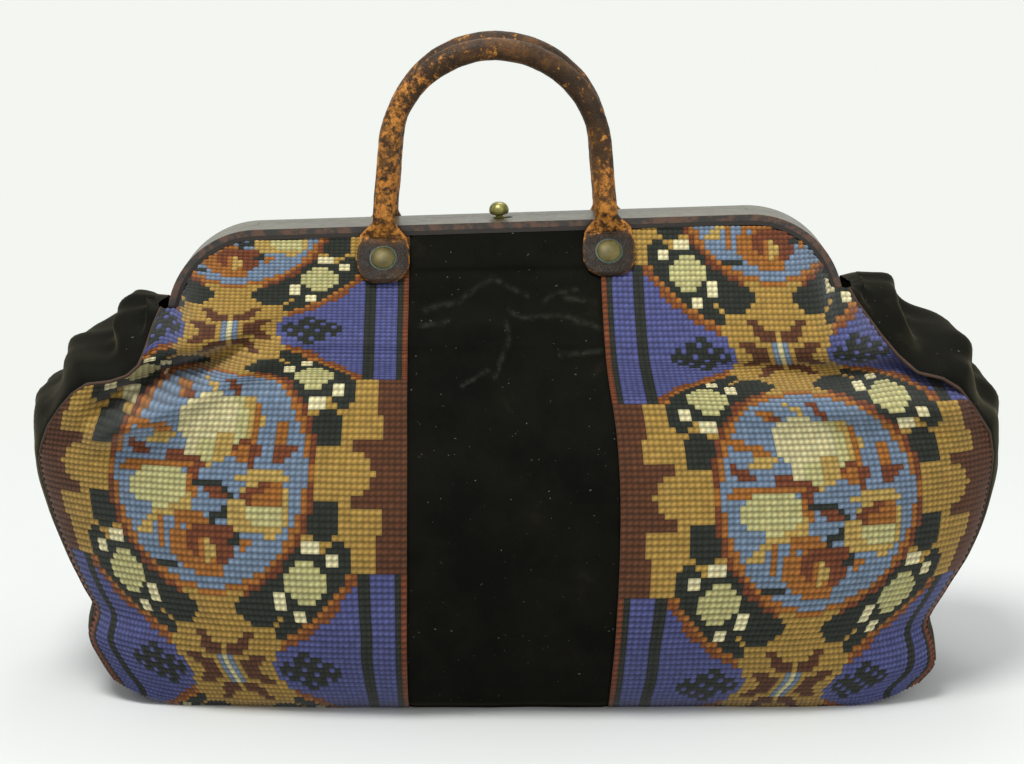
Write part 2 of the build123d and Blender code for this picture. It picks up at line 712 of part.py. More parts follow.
def handle():
    """Front handle of rolled leather: an upright arch whose legs flatten to a neck at the crease."""
    lift = NECK_THICK / 2 + 0.1
    axis_y = -(CLOTH_TOP_Y + HINGE_DROP * SLOPE_OUT + lift * SLOPE_DOWN)
    axis_z = CLOTH_TOP_Z - HINGE_DROP * SLOPE_DOWN + lift * SLOPE_OUT
    middle = Vector(HANDLE_X, axis_y - HANDLE_SETBACK, HANDLE_CENTRE_Z)
    depth = Vector(0, 1, 0)
    level = Vector(cos(radians(FRAME_TILT)), 0, sin(radians(FRAME_TILT)))
    roll = []
    for k in range(ARCH_STEPS + 1):
        turn = radians(180 - HANDLE_SPLAY - (180 - 2 * HANDLE_SPLAY) * k / ARCH_STEPS)
        out = Vector(cos(turn), 0, sin(turn))
        roll.append(ring(middle + out * HANDLE_RADIUS, out * -HANDLE_ROLL, depth * HANDLE_ROLL, ROLL_SIDES))
    beads = []
    for side, x in zip((-1, 1), foot_x()):
        foot = world(x, axis_y, axis_z)
        splay = radians(HANDLE_SPLAY)
        out = Vector(side * cos(splay), 0, sin(splay))
        top = middle + out * HANDLE_RADIUS
        drop = top.Z - foot.Z - NECK_HEIGHT
        low = Vector(top.X + side * drop * tan(splay), middle.Y, foot.Z + NECK_HEIGHT)
        leg = [ring(low, out * -HANDLE_ROLL, depth * HANDLE_ROLL, ROLL_SIDES),
               ring(foot, level * (-side * NECK_WIDTH / 2), depth * (NECK_THICK / 2), ROLL_SIDES)]
        roll = leg[::-1] + roll if side < 0 else roll + leg
        across_bag = Plane(origin=foot, x_dir=(0, 1, 0), z_dir=level)
        bead = across_bag.offset(-(NECK_WIDTH - NECK_THICK) / 2) * RegularPolygon(NECK_THICK / 2, 8)
        beads.append(extrude(bead, NECK_WIDTH - NECK_THICK))
    return skin(roll) + beads


def knob():
    """Turned clasp knob with its collar and stem."""
    low = -PLATE - BOLT_THICK - 0.6
    neck = KNOB_HEIGHT * 0.42
    head = turned([(COLLAR_RADIUS, 0.15), (STEM_RADIUS, neck), (KNOB_RADIUS, KNOB_HEIGHT * 0.72),
                   (KNOB_RADIUS * 0.7, KNOB_HEIGHT * 0.94), (KNOB_RADIUS * 0.3, KNOB_HEIGHT)])
    stem = Pos(0, 0, low) * Cylinder(STEM_RADIUS, 0.15 - low, align=(Align.CENTER, Align.CENTER, Align.MIN))
    return FRAME_PLACE * (Pos(KNOB_X, KNOB_Y, FRAME_TOP) * (head + stem))


def latch_bolt():
    """Sliding plate under the front web, riveted to the knob, with a nose towards the keeper."""
    top = FRAME_TOP - PLATE - 0.15
    y1 = SEAM_Y - 1.0
    x0 = KNOB_X - BOLT_LENGTH / 2
    plate = block(x0, x0 + BOLT_LENGTH, y1 - BOLT_DEPTH, y1, top - BOLT_THICK, top)
    nose = block(x0 + 2, x0 + 8, y1, SEAM_Y + 2.0, top - BOLT_THICK - 0.6, top - 0.6)
    hole = Pos(KNOB_X, KNOB_Y, top) * Cylinder(STEM_RADIUS + 0.02, 10)
    return FRAME_PLACE * (plate + nose - hole)


def keeper():
    """Catch plate that hangs from the back web, just behind the bolt's nose."""
    y0 = SEAM_Y + 2.0 + CATCH_CLEARANCE
    x0 = KNOB_X - BOLT_LENGTH / 2 + 5 - KEEPER_WIDTH / 2
    top = FRAME_TOP - PLATE
    plate = block(x0, x0 + KEEPER_WIDTH, y0, y0 + KEEPER_THICK, top - KEEPER_HEIGHT, top)
    foot = block(x0, x0 + KEEPER_WIDTH, y0, FRAME_DEPTH / 2 - 2.4, top - KEEPER_THICK, top)
    return FRAME_PLACE * (plate + foot)


def latch_spring():
    """Bent leaf that pushes the bolt back to the left."""
    top = FRAME_TOP - PLATE - 0.4
    x0 = KNOB_X + BOLT_LENGTH / 2 + 0.5
    reach = CLASP_TRAVEL * 2.2
    y0 = SEAM_Y - 1.5
    line = Polyline((x0, y0), (x0, y0 - 1.5), (x0 + reach, y0 - 4.5), (x0 + 1.2, y0 - 8.5), (x0 + reach, y0 - 8.5))
    leaf = extrude(trace(line, SPRING_THICK), -1.1)
    return FRAME_PLACE * (Pos(0, 0, top) * leaf)


def base_board():
    """Stiff board between the cloth and the lining."""
    z0 = CLOTH + 0.2
    board = Pos(0, 0, z0) * Box(BOARD_LENGTH, BOARD_WIDTH, BOARD_THICK, align=(Align.CENTER, Align.CENTER, Align.MIN))
    return fillet(board.edges().filter_by(Axis.Z), 14)


def lining():
    """Thin inner layer round the front, bottom and back."""
    grid = lining_grid()
    near = CLOTH + LINING_GAP
    outer = behind(grid, -near)
    inner = behind(grid, -near - LINING_CLOTH)
    raise_by = BOARD_THICK + 0.4
    lifted = []
    for layer in (outer, inner):
        lifted.append([[(x, y, min(z + raise_by * smooth((24 - z) / 10), BAND_Z - 2)) for x, y, z in line]
                       for line in layer])
    return shell_between(*lifted)


def save(name, shape):
    export_step(shape, f"parts/{name}.step")


def main():
    os.makedirs("parts", exist_ok=True)
    save("velvet_strip", cloth(lower_strip(0), CLOTH, -1))
    save("lining", lining())
    save("base_board", base_board())
    save("hinge_pins", FRAME_PLACE * Compound([hinge_pin(-1), hinge_pin(1)]))
    for side, hand in ((-1, "left"), (1, "right")):
        save(f"needlework_{hand}", cloth(lower_strip(side), CLOTH, -1))
        save(f"gusset_{hand}", shell_between(*gusset_layers(side)))
    for face, end in ((-1, "front"), (1, "back")):
        save(f"{end}_jaw", jaw(face))
        save(f"{end}_welt", welt(face))
        for side, strip in ((-1, "needlework_left"), (0, "velvet"), (1, "needlework_right")):
            save(f"{end}_band_{strip}", band(side, face))
        save(f"{end}_tabs", both(tab, face))
        save(f"{end}_studs", both(stud, face))
        save(f"{end}_stud_washers", both(washer, face))
    save("front_handle", handle())
    save("back_handle", mirror(handle(), about=Plane.XZ))
    save("clasp_knob", knob())
    save("latch_bolt", latch_bolt())
    save("latch_keeper", keeper())
    save("latch_spring", latch_spring())


main()
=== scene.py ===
"""Looks of the carpet bag: stitched needlework, velvet, gathered sides, rolled leather handles and worn metal."""
import random
from math import cos, exp, floor, pi, radians, sin, sqrt, tan

import bpy
import numpy as np
from mathutils import Matrix, Vector, noise


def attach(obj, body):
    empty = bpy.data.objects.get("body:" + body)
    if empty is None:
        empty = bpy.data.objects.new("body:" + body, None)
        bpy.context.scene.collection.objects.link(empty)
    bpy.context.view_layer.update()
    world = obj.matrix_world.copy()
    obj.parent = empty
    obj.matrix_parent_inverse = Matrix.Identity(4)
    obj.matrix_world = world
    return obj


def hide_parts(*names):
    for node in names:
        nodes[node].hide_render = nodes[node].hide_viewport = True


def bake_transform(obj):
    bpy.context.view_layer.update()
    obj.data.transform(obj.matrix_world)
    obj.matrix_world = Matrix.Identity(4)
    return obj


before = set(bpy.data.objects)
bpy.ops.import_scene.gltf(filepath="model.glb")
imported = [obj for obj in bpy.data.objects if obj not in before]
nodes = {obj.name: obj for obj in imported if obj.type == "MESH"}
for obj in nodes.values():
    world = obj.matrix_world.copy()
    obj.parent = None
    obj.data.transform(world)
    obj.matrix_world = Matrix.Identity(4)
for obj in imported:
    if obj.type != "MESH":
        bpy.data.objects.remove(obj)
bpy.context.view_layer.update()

# Sizes in millimetres, the same as the solids
FRAME_X = -8.5
FRAME_TOP = 253.5
FRAME_HALF_WIDTH = 181.5
FRAME_DEPTH = 32.0
FRAME_RADIUS = 50.0
FRAME_TILT = 1.8
LIP_DEPTH = 3.4
WELT_HEIGHT = 2.2
TOP_SLOPE = 37.0
FOLD_Z = 222.0
BAND_Z = 195.0
BODY_HALF_WIDTH = 252.0
BODY_HALF_DEPTH = 98.0
GUSSET_BULGE = 10.0
CORNER_LIFT = 17.0
CORNER_START = 168.0
HANDLE_X = -12.1
HANDLE_RADIUS = 56.0
HANDLE_ROLL = 5.9
HANDLE_SPLAY = 5.0
HANDLE_CENTRE_Z = 289.6
HANDLE_SETBACK = 2.6
NECK_HEIGHT = 13.0
NECK_WIDTH = 22.0
NECK_THICK = 3.6
TAB_THICK = 3.2
TAB_RADIUS = 14.0
HINGE_DROP = 1.5
STUD_DROP = 14.3
STUD_HEAD_RADIUS = 6.35
STUD_HEAD = 2.0
STUD_SIDES = 40
KNOB_X = -1.6
KNOB_RADIUS = 5.3
KNOB_HEIGHT = 8.5
KNOB_SIDES = 36
HANDLE_SIDES = 32
SPRING_X = KNOB_X + 11.5
SPRING_HEIGHT = 1.1
SPRING_HALF = 0.25
SLOPE_OUT = sin(radians(TOP_SLOPE))
SLOPE_DOWN = cos(radians(TOP_SLOPE))
TILT_TAN = tan(radians(FRAME_TILT))
CLOTH_TOP_Z = FRAME_TOP - LIP_DEPTH - WELT_HEIGHT - 0.25
CLOTH_TOP_Y = FRAME_DEPTH / 2 + 0.4
ARCH_CENTRE_X = FRAME_HALF_WIDTH - FRAME_RADIUS
ARCH_CENTRE_Z = FRAME_TOP - FRAME_RADIUS
# How far down the pull of the frame and the side seams reaches, and how fast it fades
PULL_REACH = 52.0
PULL_POWER = 2.4

# Outlines of the bag by level: share of the half depth, the velvet's edges, the side edges and their depth
CENTRE_DEPTH = [(0, 0.70), (6, 0.78), (18, 0.87), (40, 0.97), (65, 1), (95, 0.98), (130, 0.90),
                (165, 0.75), (195, 0.573)]
VELVET_EDGE = {-1: [(0, 58), (120, 57), (190, 57.5), (254, 57.4)],
               1: [(0, 48), (50, 50.5), (110, 52.5), (150, 51), (190, 45.5), (254, 43)]}
OUTER_EDGE = {-1: [(8, 214), (20, 222), (35, 230), (49, 227), (60, 233), (75, 240), (100, 248), (133, 254),
                   (165, 249), (195, 243), (254, 240)],
              1: [(8, 212), (20, 223), (31, 223), (42, 220), (58, 230), (75, 240), (103, 249), (133, 252),
                  (165, 247), (195, 232), (254, 229)]}
SEAM_DEPTH = [(0, 62), (20, 58), (40, 51), (60, 45), (100, 43), (138, 46), (160, 52), (185, 52)]
# Side seams by face and side: distance from the middle, height, depth
SEAMS = {-1: {-1: [(191.5, 207, 16), (194, 200, 30), (196, 191, 45), (198.5, 184, 55), (204, 179.5, 60),
                   (213, 177, 63), (224, 176.5, 66), (232, 171, 65), (239, 163, 62), (246, 153, 58), (251, 142, 52),
                   (254, 133, 47)],
              1: [(177, 218, 16), (181, 211, 20), (187, 203, 25), (193, 195, 31), (201, 186, 40), (210, 179, 50),
                  (222, 177.5, 57), (231, 172, 57), (241, 159, 54), (249, 147, 50), (252, 134, 46)]},
         1: {-1: [(191.5, 207, 16), (199, 205, 29), (207, 203, 41), (218, 194, 52), (229, 181, 57), (240, 165, 58),
                  (249, 149, 55), (254, 133, 47)],
             1: [(177, 218, 16), (186, 217, 31), (196, 213, 43), (208, 204, 52), (222, 190, 57), (237, 170, 58),
                 (247, 151, 54), (252, 134, 46)]}}
# Creases of the front: from and to as (x, z), how deep and how wide
CREASES = [((-208, 165), (-108, 207), 19, 7), ((216, 174), (76, 181), 13, 7),
           ((-60, 214), (48, 216), 2, 7), ((-204, 168), (-100, 206), 5, 4.5), ((226, 176), (66, 184), 4, 4.5)]
# Where the front bulges beside its creases: x, z, half width, half height, how far
LOBES = [(-172, 197, 24, 11, 8), (-206, 160, 30, 11, 6), (-120, 168, 40, 12, 3), (150, 163, 60, 10, 3),
         (-20, 204, 20, 7, 2.6), (12, 196, 16, 9, -2.4), (-8, 190, 9, 16, 1.8), (30, 200, 9, 14, 1.6),
         (-36, 196, 7, 14, -1.2), (2, 120, 50, 40, 2)]

# Needlework: stitches across a strip, stitch size, the pattern's axis and repeat in stitches, and the height of a
# roundel's centre on each strip
STITCHES = 66
PITCH = 3.13
AXIS = 32.5
REPEAT = 65
STITCH_STEP = 0.5
ROUNDEL_Z = {-1: 133.5, 1: 122.0}
# Lines of flattened pile on the front of the velvet, painted paler there as a highlight along its creases, as x and z
CRUSH_HIGHLIGHT_LINES = [[(-49, 211), (-32, 214.5), (-19, 223), (-13, 226), (-3, 221), (5, 218)], [(14, 215), (19, 218.5), (31, 221)],
           [(24, 217), (41, 215)], [(-5, 211), (4, 207.5), (26, 208.5), (36, 205), (46, 202)], [(-51, 204), (-36, 206)],
           [(-29, 176), (-16, 183)], [(-12, 180), (-5, 197), (-6, 206)], [(22, 190), (44, 192)]]
# How far the threads lean outward, by level
LEAN = {-1: [(0, 0.11), (60, 0.08), (133, 0.03), (254, 0.035)],
        1: [(0, 0.10), (60, 0.07), (122, 0.02), (200, -0.01), (254, -0.01)]}
# Rows taken up where the cloth folds under the frame: from and to which height, how many, and how tight above
SHELF = {-1: (178.0, 194.0, 1.4, 1.5), 1: (174.0, 188.0, 5.0, 1.0)}
# Share of the cloth's length that counts below the roundels, where the rows stand further apart
LOWER_EASE = 0.91
# Height of the wool over the cloth in millimetres, and the painted shade multiplied into its colour, darkest in the
# grooves between stitches and lifted along their crowns as a painted highlight: between and along the middle of rows
# and columns
RELIEF = np.array(((-0.7, -0.45), (0.05, 0.7)))
PAINTED_STITCH_SHADE = np.array(((0.3, 0.44), (0.66, 1.12)))
# Passes that even out the needlework beside the legs of the frame, and from where and over what width and height
EVEN_PASSES = 14
EVEN_X, EVEN_X_OVER = 145, 20
EVEN_Z, EVEN_Z_OVER = 165, 15
# Velvet strip: grid, how far it runs on under the needlework and how deep it lies there, and the fold at its top
VELVET_COLUMNS = 84
VELVET_STEP = 0.4
UNDERLAP = 1.6
SINK = 1.7
TUCK_Z = 229.0
# Grids of the side pieces, the piping and the lining, the piping's radius and the lining's lowest level
GUSSET_ROWS, GUSSET_COLUMNS = 110, 56
PIPING_POINTS = 120
PIPING_RADIUS = 0.9
LINING_THREADS = 15
LINING_ROWS = 50
LINING_FOOT = 9.0


def frame_height(x, level):
    """Height at x of a level of the tilted frame."""
    return level + (x - FRAME_X) * TILT_TAN


def smooth(q):
    """Soft step from 0 to 1."""
    q = min(max(q, 0.0), 1.0)
    return q * q * (3 - 2 * q)


def station(table, value):
    """Value of a table of pairs, on a smooth curve through them."""
    if value <= table[0][0]:
        return table[0][1]
    if value >= table[-1][0]:
        return table[-1][1]
    k = max(i for i in range(len(table) - 1) if table[i][0] <= value)
    (x0, y0), (x1, y1) = table[k], table[k + 1]
    before = table[k - 1] if k else (x0 - (x1 - x0), y0)
    after = table[k + 2] if k + 2 < len(table) else (x1 + (x1 - x0), y1)
    m0 = (y1 - before[1]) / (x1 - before[0])
    m1 = (after[1] - y0) / (after[0] - x0)
    h = x1 - x0
    q = (value - x0) / h
    return (y0 * (2 * q**3 - 3 * q**2 + 1) + m0 * h * (q**3 - 2 * q**2 + q)
            + y1 * (3 * q**2 - 2 * q**3) + m1 * h * (q**3 - q**2))


def straight(table, value):
    """Values of a table's rows, on straight lines between them."""
    at, *columns = zip(*table)
    return tuple(float(np.interp(value, at, column)) for column in columns)


def arch_drop(x):
    """Height of the cloth's top edge under the frame, before its tilt."""
    radius = FRAME_RADIUS - (FRAME_TOP - CLOTH_TOP_Z)
    over = abs(x) - ARCH_CENTRE_X
    if over <= 0:
        return CLOTH_TOP_Z
    return ARCH_CENTRE_Z + sqrt(max(radius**2 - over**2, 0.0))


def top_edge(x, face):
    """Height and depth where the cloth of a face ends, at the frame or at the side seam."""
    seam = SEAMS[face][1 if x > 0 else -1]
    if abs(x) >= seam[0][0]:
        return straight(seam, abs(x))
    lean = (FRAME_TOP - arch_drop(x - FRAME_X)) * TILT_TAN
    return max(frame_height(x, arch_drop(x - FRAME_X - lean)), seam[0][1]), CLOTH_TOP_Y


def belly_depth(x, z):
    """Depth of the plain bag."""
    side = 1 if x > 0 else -1
    fold = frame_height(x, FOLD_Z)
    top = frame_height(x, CLOTH_TOP_Z)
    slope = SLOPE_OUT / SLOPE_DOWN
    if z >= fold:
        return CLOTH_TOP_Y + (top - z) * slope
    at_fold = CLOTH_TOP_Y + (top - fold) * slope
    low = station(CENTRE_DEPTH, min(z, BAND_Z)) * BODY_HALF_DEPTH
    middle = low
    if z > BAND_Z:
        middle = low + (at_fold - low) * (z - BAND_Z) / (fold - BAND_Z)
    outer = station(OUTER_EDGE[side], z)
    seam = min(station(SEAM_DEPTH, z), middle)
    rho = min(abs(x) / outer, 1.0)
    return seam + (middle - seam) * (1 - rho**3.6) ** 0.75


def crease(x, z, line):
    """How far one crease draws the front in."""
    (x0, z0), (x1, z1), depth, width = line
    run = (x - x0) / (x1 - x0)
    if run < -0.25 or run > 1.0:
        return 0.0
    off = z - (z0 + (z1 - z0) * run)
    fade = smooth((1.0 - run) / 0.8) * smooth((run + 0.25) / 0.25)
    return fade * depth * (exp(-((off - 2) / width) ** 2) - 0.5 * exp(-((off + 1.6 * width) / width) ** 2))


def lobes(x, z):
    """Soft bulges of the front beside its creases, in millimetres."""
    return sum(out * exp(-((x - cx) / wide) ** 2 - ((z - cz) / high) ** 2) for cx, cz, wide, high, out in LOBES)


def rumple(x, y, z):
    """Small waves of slack cloth, in millimetres."""
    p = Vector((x * 0.016, y * 0.016, z * 0.021))
    return 2.4 * noise.noise(p) + 0.9 * noise.noise(p * 2.7 + Vector((7.1, 3.3, 1.7)))


def cloth_depth(x, z, face):
    """Depth of a face without its creases, and the height of its top edge."""
    top_z, top_depth = top_edge(x, face)
    q = min(max((top_z - z) / PULL_REACH, 0.0), 1.0)
    return belly_depth(x, z) + (top_depth - belly_depth(x, top_z)) * (1 - q) ** PULL_POWER, top_z


def face_point(x, z, face, slack=0.0):
    """Point of the cloth's surface in millimetres."""
    depth, top_z = cloth_depth(x, z, face)
    if face < 0:
        below = smooth((frame_height(x, FOLD_Z) - z) / 10)
        if below:
            depth -= below * sum(crease(x, z, line) for line in CREASES)
            depth += below * lobes(x, z)
    if slack:
        depth += slack * rumple(x, face * 60, z) * smooth((top_z - z) / 30)
    return (x, face * depth, z)


def near_crush_highlight(x, z):
    """How near a point lies to a line of flattened pile with its painted crease highlight, 1 on the line."""
    near = 99.0
    for line in CRUSH_HIGHLIGHT_LINES:
        for (x0, z0), (x1, z1) in zip(line, line[1:]):
            dx, dz = x1 - x0, z1 - z0
            q = min(max(((x - x0) * dx + (z - z0) * dz) / (dx * dx + dz * dz), 0.0), 1.0)
            near = min(near, (x - x0 - q * dx) ** 2 + (z - z0 - q * dz) ** 2)
    return exp(-near / 1.2)


def base_height(x):
    """How far the bag's underside lifts off the floor toward its corners."""
    over = max(abs(x) - CORNER_START, 0.0) / (BODY_HALF_WIDTH * 0.88 - CORNER_START)
    return CORNER_LIFT * min(over, 1.2) ** 2.2


LEVEL_STEP = 4.0
LEVELS = [LEVEL_STEP * k for k in range(67)]
SHARES = np.linspace(0, 1, 41)


def thread_table(side):
    """World x of evenly spaced threads, level by level, measured along the cloth."""
    rows = []
    for z in LEVELS:
        inner = station(VELVET_EDGE[side], z) + 0.15
        outer = station(OUTER_EDGE[side], z)
        xs = inner + (outer - inner) * np.linspace(0, 1, 80)
        ys = np.array([belly_depth(side * x, min(z, 215.0)) for x in xs])
        run = np.concatenate(([0.0], np.cumsum(np.hypot(np.diff(xs), np.diff(ys)))))
        lean = station(LEAN[side], z)
        rows.append(np.interp((SHARES * (1 + lean) - lean * SHARES**4) * run[-1], run, xs))
    return side * np.array(rows)


THREADS = {side: thread_table(side) for side in (-1, 1)}


def thread_x(share, side, z):
    """World x of a thread of the needlework at a level."""
    level = min(max(z / LEVEL_STEP, 0.0), len(LEVELS) - 1.001)
    k = int(level)
    a = np.interp(share, SHARES, THREADS[side][k])
    b = np.interp(share, SHARES, THREADS[side][k + 1])
    return a + (b - a) * (level - k)


def velvet_x(share, z):
    """World x of a thread of the velvet at a level."""
    left = -UNDERLAP - station(VELVET_EDGE[-1], z)
    right = station(VELVET_EDGE[1], z) + UNDERLAP
    return left + (right - left) * share


def top_of(thread, face):
    """Height where a thread meets the frame or the side seam."""
    low, high = 120.0, FRAME_TOP + 10
    for _ in range(24):
        z = (low + high) / 2
        if z > top_edge(thread(z), face)[0]:
            high = z
        else:
            low = z
    return low


def spread(points, count):
    """Evenly spaced points along a run of points."""
    run = [0.0]
    for a, b in zip(points, points[1:]):
        run.append(run[-1] + sqrt(sum((p - q) ** 2 for p, q in zip(a, b))))
    want = np.linspace(0, run[-1], count + 1)
    return np.stack([np.interp(want, run, [p[k] for p in points]) for k in range(3)], axis=1)


def linear(r, g, b):
    """Linear colour from an sRGB triple."""
    return tuple((c / 255 / 12.92) if c <= 10 else ((c / 255 + 0.055) / 1.055) ** 2.4 for c in (r, g, b))


WOOL = {name: linear(*rgb) for name, rgb in {
    "blue": (114, 132, 152), "violet": (82, 86, 134), "tan": (170, 136, 66), "gold": (182, 152, 82),
    "rust": (128, 74, 36), "brick": (114, 62, 36), "brown": (92, 56, 34), "dark": (42, 46, 38),
    "cream": (206, 196, 146), "pale": (226, 216, 168), "lime": (188, 182, 124), "orange": (158, 100, 42)}.items()}

# Flowers in a roundel, in stitches from its centre: wool, x, y, half width, half height and any turn in degrees
FLOWERS = [
    ("orange", -11.5, 8.2, 3, 0.8, -12), ("orange", -9, 7.2, 1.6, 0.7, -12), ("brick", -12.6, 3.6, 2.4, 0.8, -32),
    ("orange", -12.6, 0.6, 3.2, 0.8, 10), ("orange", -7, 13.9, 2, 0.9, -20), ("brick", -5.6, 13.2, 1.2, 0.6, -20),
    ("gold", -1.9, 14.9, 2, 0.7, -40), ("brick", 2.2, 14.5, 2.5, 0.75, -66), ("orange", 11.6, 6, 0.9, 2.8),
    ("brick", 11.4, 2.8, 0.9, 1.8), ("brick", 13.2, 3.7, 1.5, 0.8, 25), ("gold", -9, 5.6, 2.6, 1, 14),
    ("gold", 4.6, 8.6, 3.5, 4), ("orange", 7, 7.8, 0.9, 3.2), ("lime", 2.3, 8.2, 3.4, 4.6),
    ("cream", -1.5, 9, 5.2, 4.2), ("cream", -2, 5, 2.6, 3.2), ("gold", 1.6, 4.2, 2.2, 2.6),
    ("gold", 0.2, 2.2, 1.6, 1.3), ("lime", -1.2, 3.6, 1.8, 2.2), ("brick", 5.9, 3.4, 2.9, 1.7),
    ("orange", 5.4, 3, 1.6, 1.1), ("brick", 7.2, 1.6, 0.8, 1.8), ("brick", -4.3, 1.9, 3.8, 1.1, -14),
    ("brick", -2.2, -0.4, 1, 2.4), ("orange", -3, -3.2, 1.2, 3), ("orange", -6.6, 1, 4.2, 0.7, -4),
    ("gold", -5.4, -5.2, 3.6, 1.9, 18), ("lime", -8, -2.6, 4.9, 3.5), ("lime", -10.8, -3.2, 2.8, 2.2),
    ("dark", 0.2, -2.2, 2.4, 0.9, -14), ("brick", 1.6, -3.2, 2.6, 0.9, -8), ("dark", 3.6, -3.6, 1.2, 0.6, -20),
    ("gold", 9.4, -1, 4.4, 1.4), ("gold", 9.6, -5.2, 4.4, 4.8), ("orange", 10.2, -4.2, 2.6, 3.2),
    ("brick", 8, -3, 2.8, 0.9, 24), ("brick", 6.7, -5.6, 0.8, 2.4), ("lime", 9.8, -6.8, 3.2, 1.7),
    ("gold", 4.9, -6.8, 1.9, 2.8, 20), ("gold", 10.6, -9.2, 2.4, 0.9), ("orange", -3.2, -7.6, 2.6, 1.4),
    ("orange", -4.6, -12, 2, 3.2, 16), ("orange", -0.4, -12, 4, 4.6), ("brick", 2.6, -11.2, 2.4, 3.2),
    ("brick", -2.2, -11, 0.9, 3), ("brick", 0.2, -9.4, 2.8, 1), ("orange", -0.2, -15.4, 2.6, 1.5),
    ("gold", 0.4, -12.6, 0.7, 2.4), ("dark", 2, -7, 1.8, 0.9, 24), ("dark", 4.9, -10.8, 1.2, 1.2),
    ("dark", -7.4, -15, 1.9, 0.7, -8), ("gold", -10, -8.6, 0.8, 2, -38), ("gold", -10.8, -9.9, 1.5, 0.6, 20),
    ("orange", -8, -10, 0.8, 2.4, -8), ("orange", 6.2, -11.4, 0.7, 1.4, -20),
]
# One corner leaf, its bud and its pale stitches, in stitches from the roundel's centre
ROUNDEL = (16.1, 18.2)
OUTLINE = (28, 29.5)
LEAF = [(21.2, 10.2), (23, 11.6), (23.4, 14.6), (21.8, 18), (18.4, 21.6), (14.4, 24.4), (9.8, 26.8), (9.4, 24.8),
        (12, 23.4), (10.4, 21.4), (8, 19), (9.6, 16.6), (11.6, 14.6), (13.6, 12.6), (15.2, 11.4), (17, 10.4),
        (18.4, 12.4), (20, 12)]
DROPS = [(19.2, 7.4, 2.8, 3.2), (7.2, 21.6, 3.5, 2.8)]
BUD = [(3.4, 1.2), (2.7, 2.2), (1.6, 3.2)]
SQUARES = [(17, 11.5), (20.5, 13.5), (11.5, 20), (14.5, 22.5)]
# The brown flame at a strip's sides: rows from its middle, and how far in it reaches
FLAME = [(0.9, 27.5), (2.1, 26), (3.4, 25), (5.4, 23.5), (7.4, 28.5), (9.4, 28.2), (12.4, 27.8), (15.1, 27)]
# Petals of a bow: corners of the upper and the lower one
PETALS = [[(-0.9, 3.4), (-2.6, 3.2), (-4.4, 4), (-4.8, 5.4), (-5.4, 7.6), (-4.2, 7.2), (-3, 5.8), (-1, 5.2)],
          [(-2.6, 0.4), (-4.8, 0.2), (-6, 1.2), (-8.2, 3.4), (-6.4, 3.3), (-4.6, 2.5), (-2.6, 2.2)]]


def in_ellipse(x, y, cx, cy, rx, ry, turn=0):
    c, s = cos(radians(turn)), sin(radians(turn))
    dx, dy = x - cx, y - cy
    return ((dx * c + dy * s) / rx) ** 2 + ((dy * c - dx * s) / ry) ** 2 <= 1.0


def inside(x, y, corners):
    """Whether a point lies in a polygon."""
    hit = False
    for (x0, y0), (x1, y1) in zip(corners, corners[1:] + corners[:1]):
        if (y0 > y) != (y1 > y) and x < x0 + (y - y0) * (x1 - x0) / (y1 - y0):
            hit = not hit
    return hit


def bow(ax, aw):
    """Wool of the bow between two roundels, from its own centre."""
    if ax < 0.6 and aw < 3.4:
        return "cream"
    if ax < 1.6 and aw < 2.8:
        return "blue"
    if any(inside(-ax, aw, petal) for petal in PETALS):
        return "brown"
    return "tan"


def leaf_wool(ax, av):
    """Wool of a corner leaf with its bud, pale stitches and two drops, or None."""
    for sx, sy in SQUARES:
        if abs(ax - sx) <= 1.0 and abs(av - sy) <= 1.0:
            return "pale"
    if any(abs(ax - 16.2) <= wide and abs(av - 17.0) <= high for wide, high in BUD):
        return "lime"
    if inside(ax, av, LEAF):
        return "dark"
    drops = (abs((ax - x) / wide) ** 2.2 + abs((av - y) / high) ** 2.2 for x, y, wide, high in DROPS)
    return "dark" if any(drop <= 1 for drop in drops) else None


def ground(x, ax, v, av):
    """Violet ground with its stripes and border, outside the outline."""
    if ax > 31.4:
        return "brick"
    if ax > 30.4 or 24.9 < ax < 26.1:
        return "dark"
    leaf_x, leaf_w = ax - 14.8, REPEAT / 2 - 0.6 - av
    if abs(leaf_x) / 5.8 + abs(leaf_w) / 3.6 < 1.0:
        return "violet" if (int(floor(x)) + 2 * int(floor(v))) % 5 == 0 else "dark"
    return "violet"


def needlework(x, row):
    """Name of the wool at a stitch, from the strip's middle and the roundel's centre."""
    v = (row + REPEAT / 2) % REPEAT - REPEAT / 2
    ax, av = abs(x), abs(v)
    rho = sqrt((x / ROUNDEL[0]) ** 2 + (v / ROUNDEL[1]) ** 2)
    if rho <= 1.0:
        return next((wool for wool, *shape in reversed(FLOWERS) if in_ellipse(x, v, *shape)), "blue")
    if rho < 1.06:
        return "orange"
    if rho < 1.115:
        return "tan" if ax < 5.5 else "brick"
    leaf = leaf_wool(ax, av)
    if leaf:
        return leaf
    out = sqrt((x / OUTLINE[0]) ** 2 + (v / OUTLINE[1]) ** 2)
    half = REPEAT / 2 - av
    if av > 20 and ax < (8.2 + 0.5 * max(half, 0)) and ax < 10.6:
        return bow(ax, half)
    if av <= 15.1:
        reach = next(far for rows, far in FLAME if av <= rows or rows > 15)
        return "brown" if ax > reach else "tan"
    if out < 0.965:
        return "tan"
    if out < 1.0:
        return "orange"
    if out < 1.035:
        return "rust"
    return ground(x, ax, v, av)


def shade(rng, name):
    """A wool's colour with the small differences between stitches."""
    base = WOOL[name]
    lift = 1.0 + rng.uniform(-0.10, 0.10)
    warm = rng.uniform(-0.03, 0.03)
    return (base[0] * lift * (1 + warm), base[1] * lift, base[2] * lift * (1 - warm))


def add_object(name, data):
    obj = bpy.data.objects.new(name, data)
    bpy.context.scene.collection.objects.link(obj)
    return obj


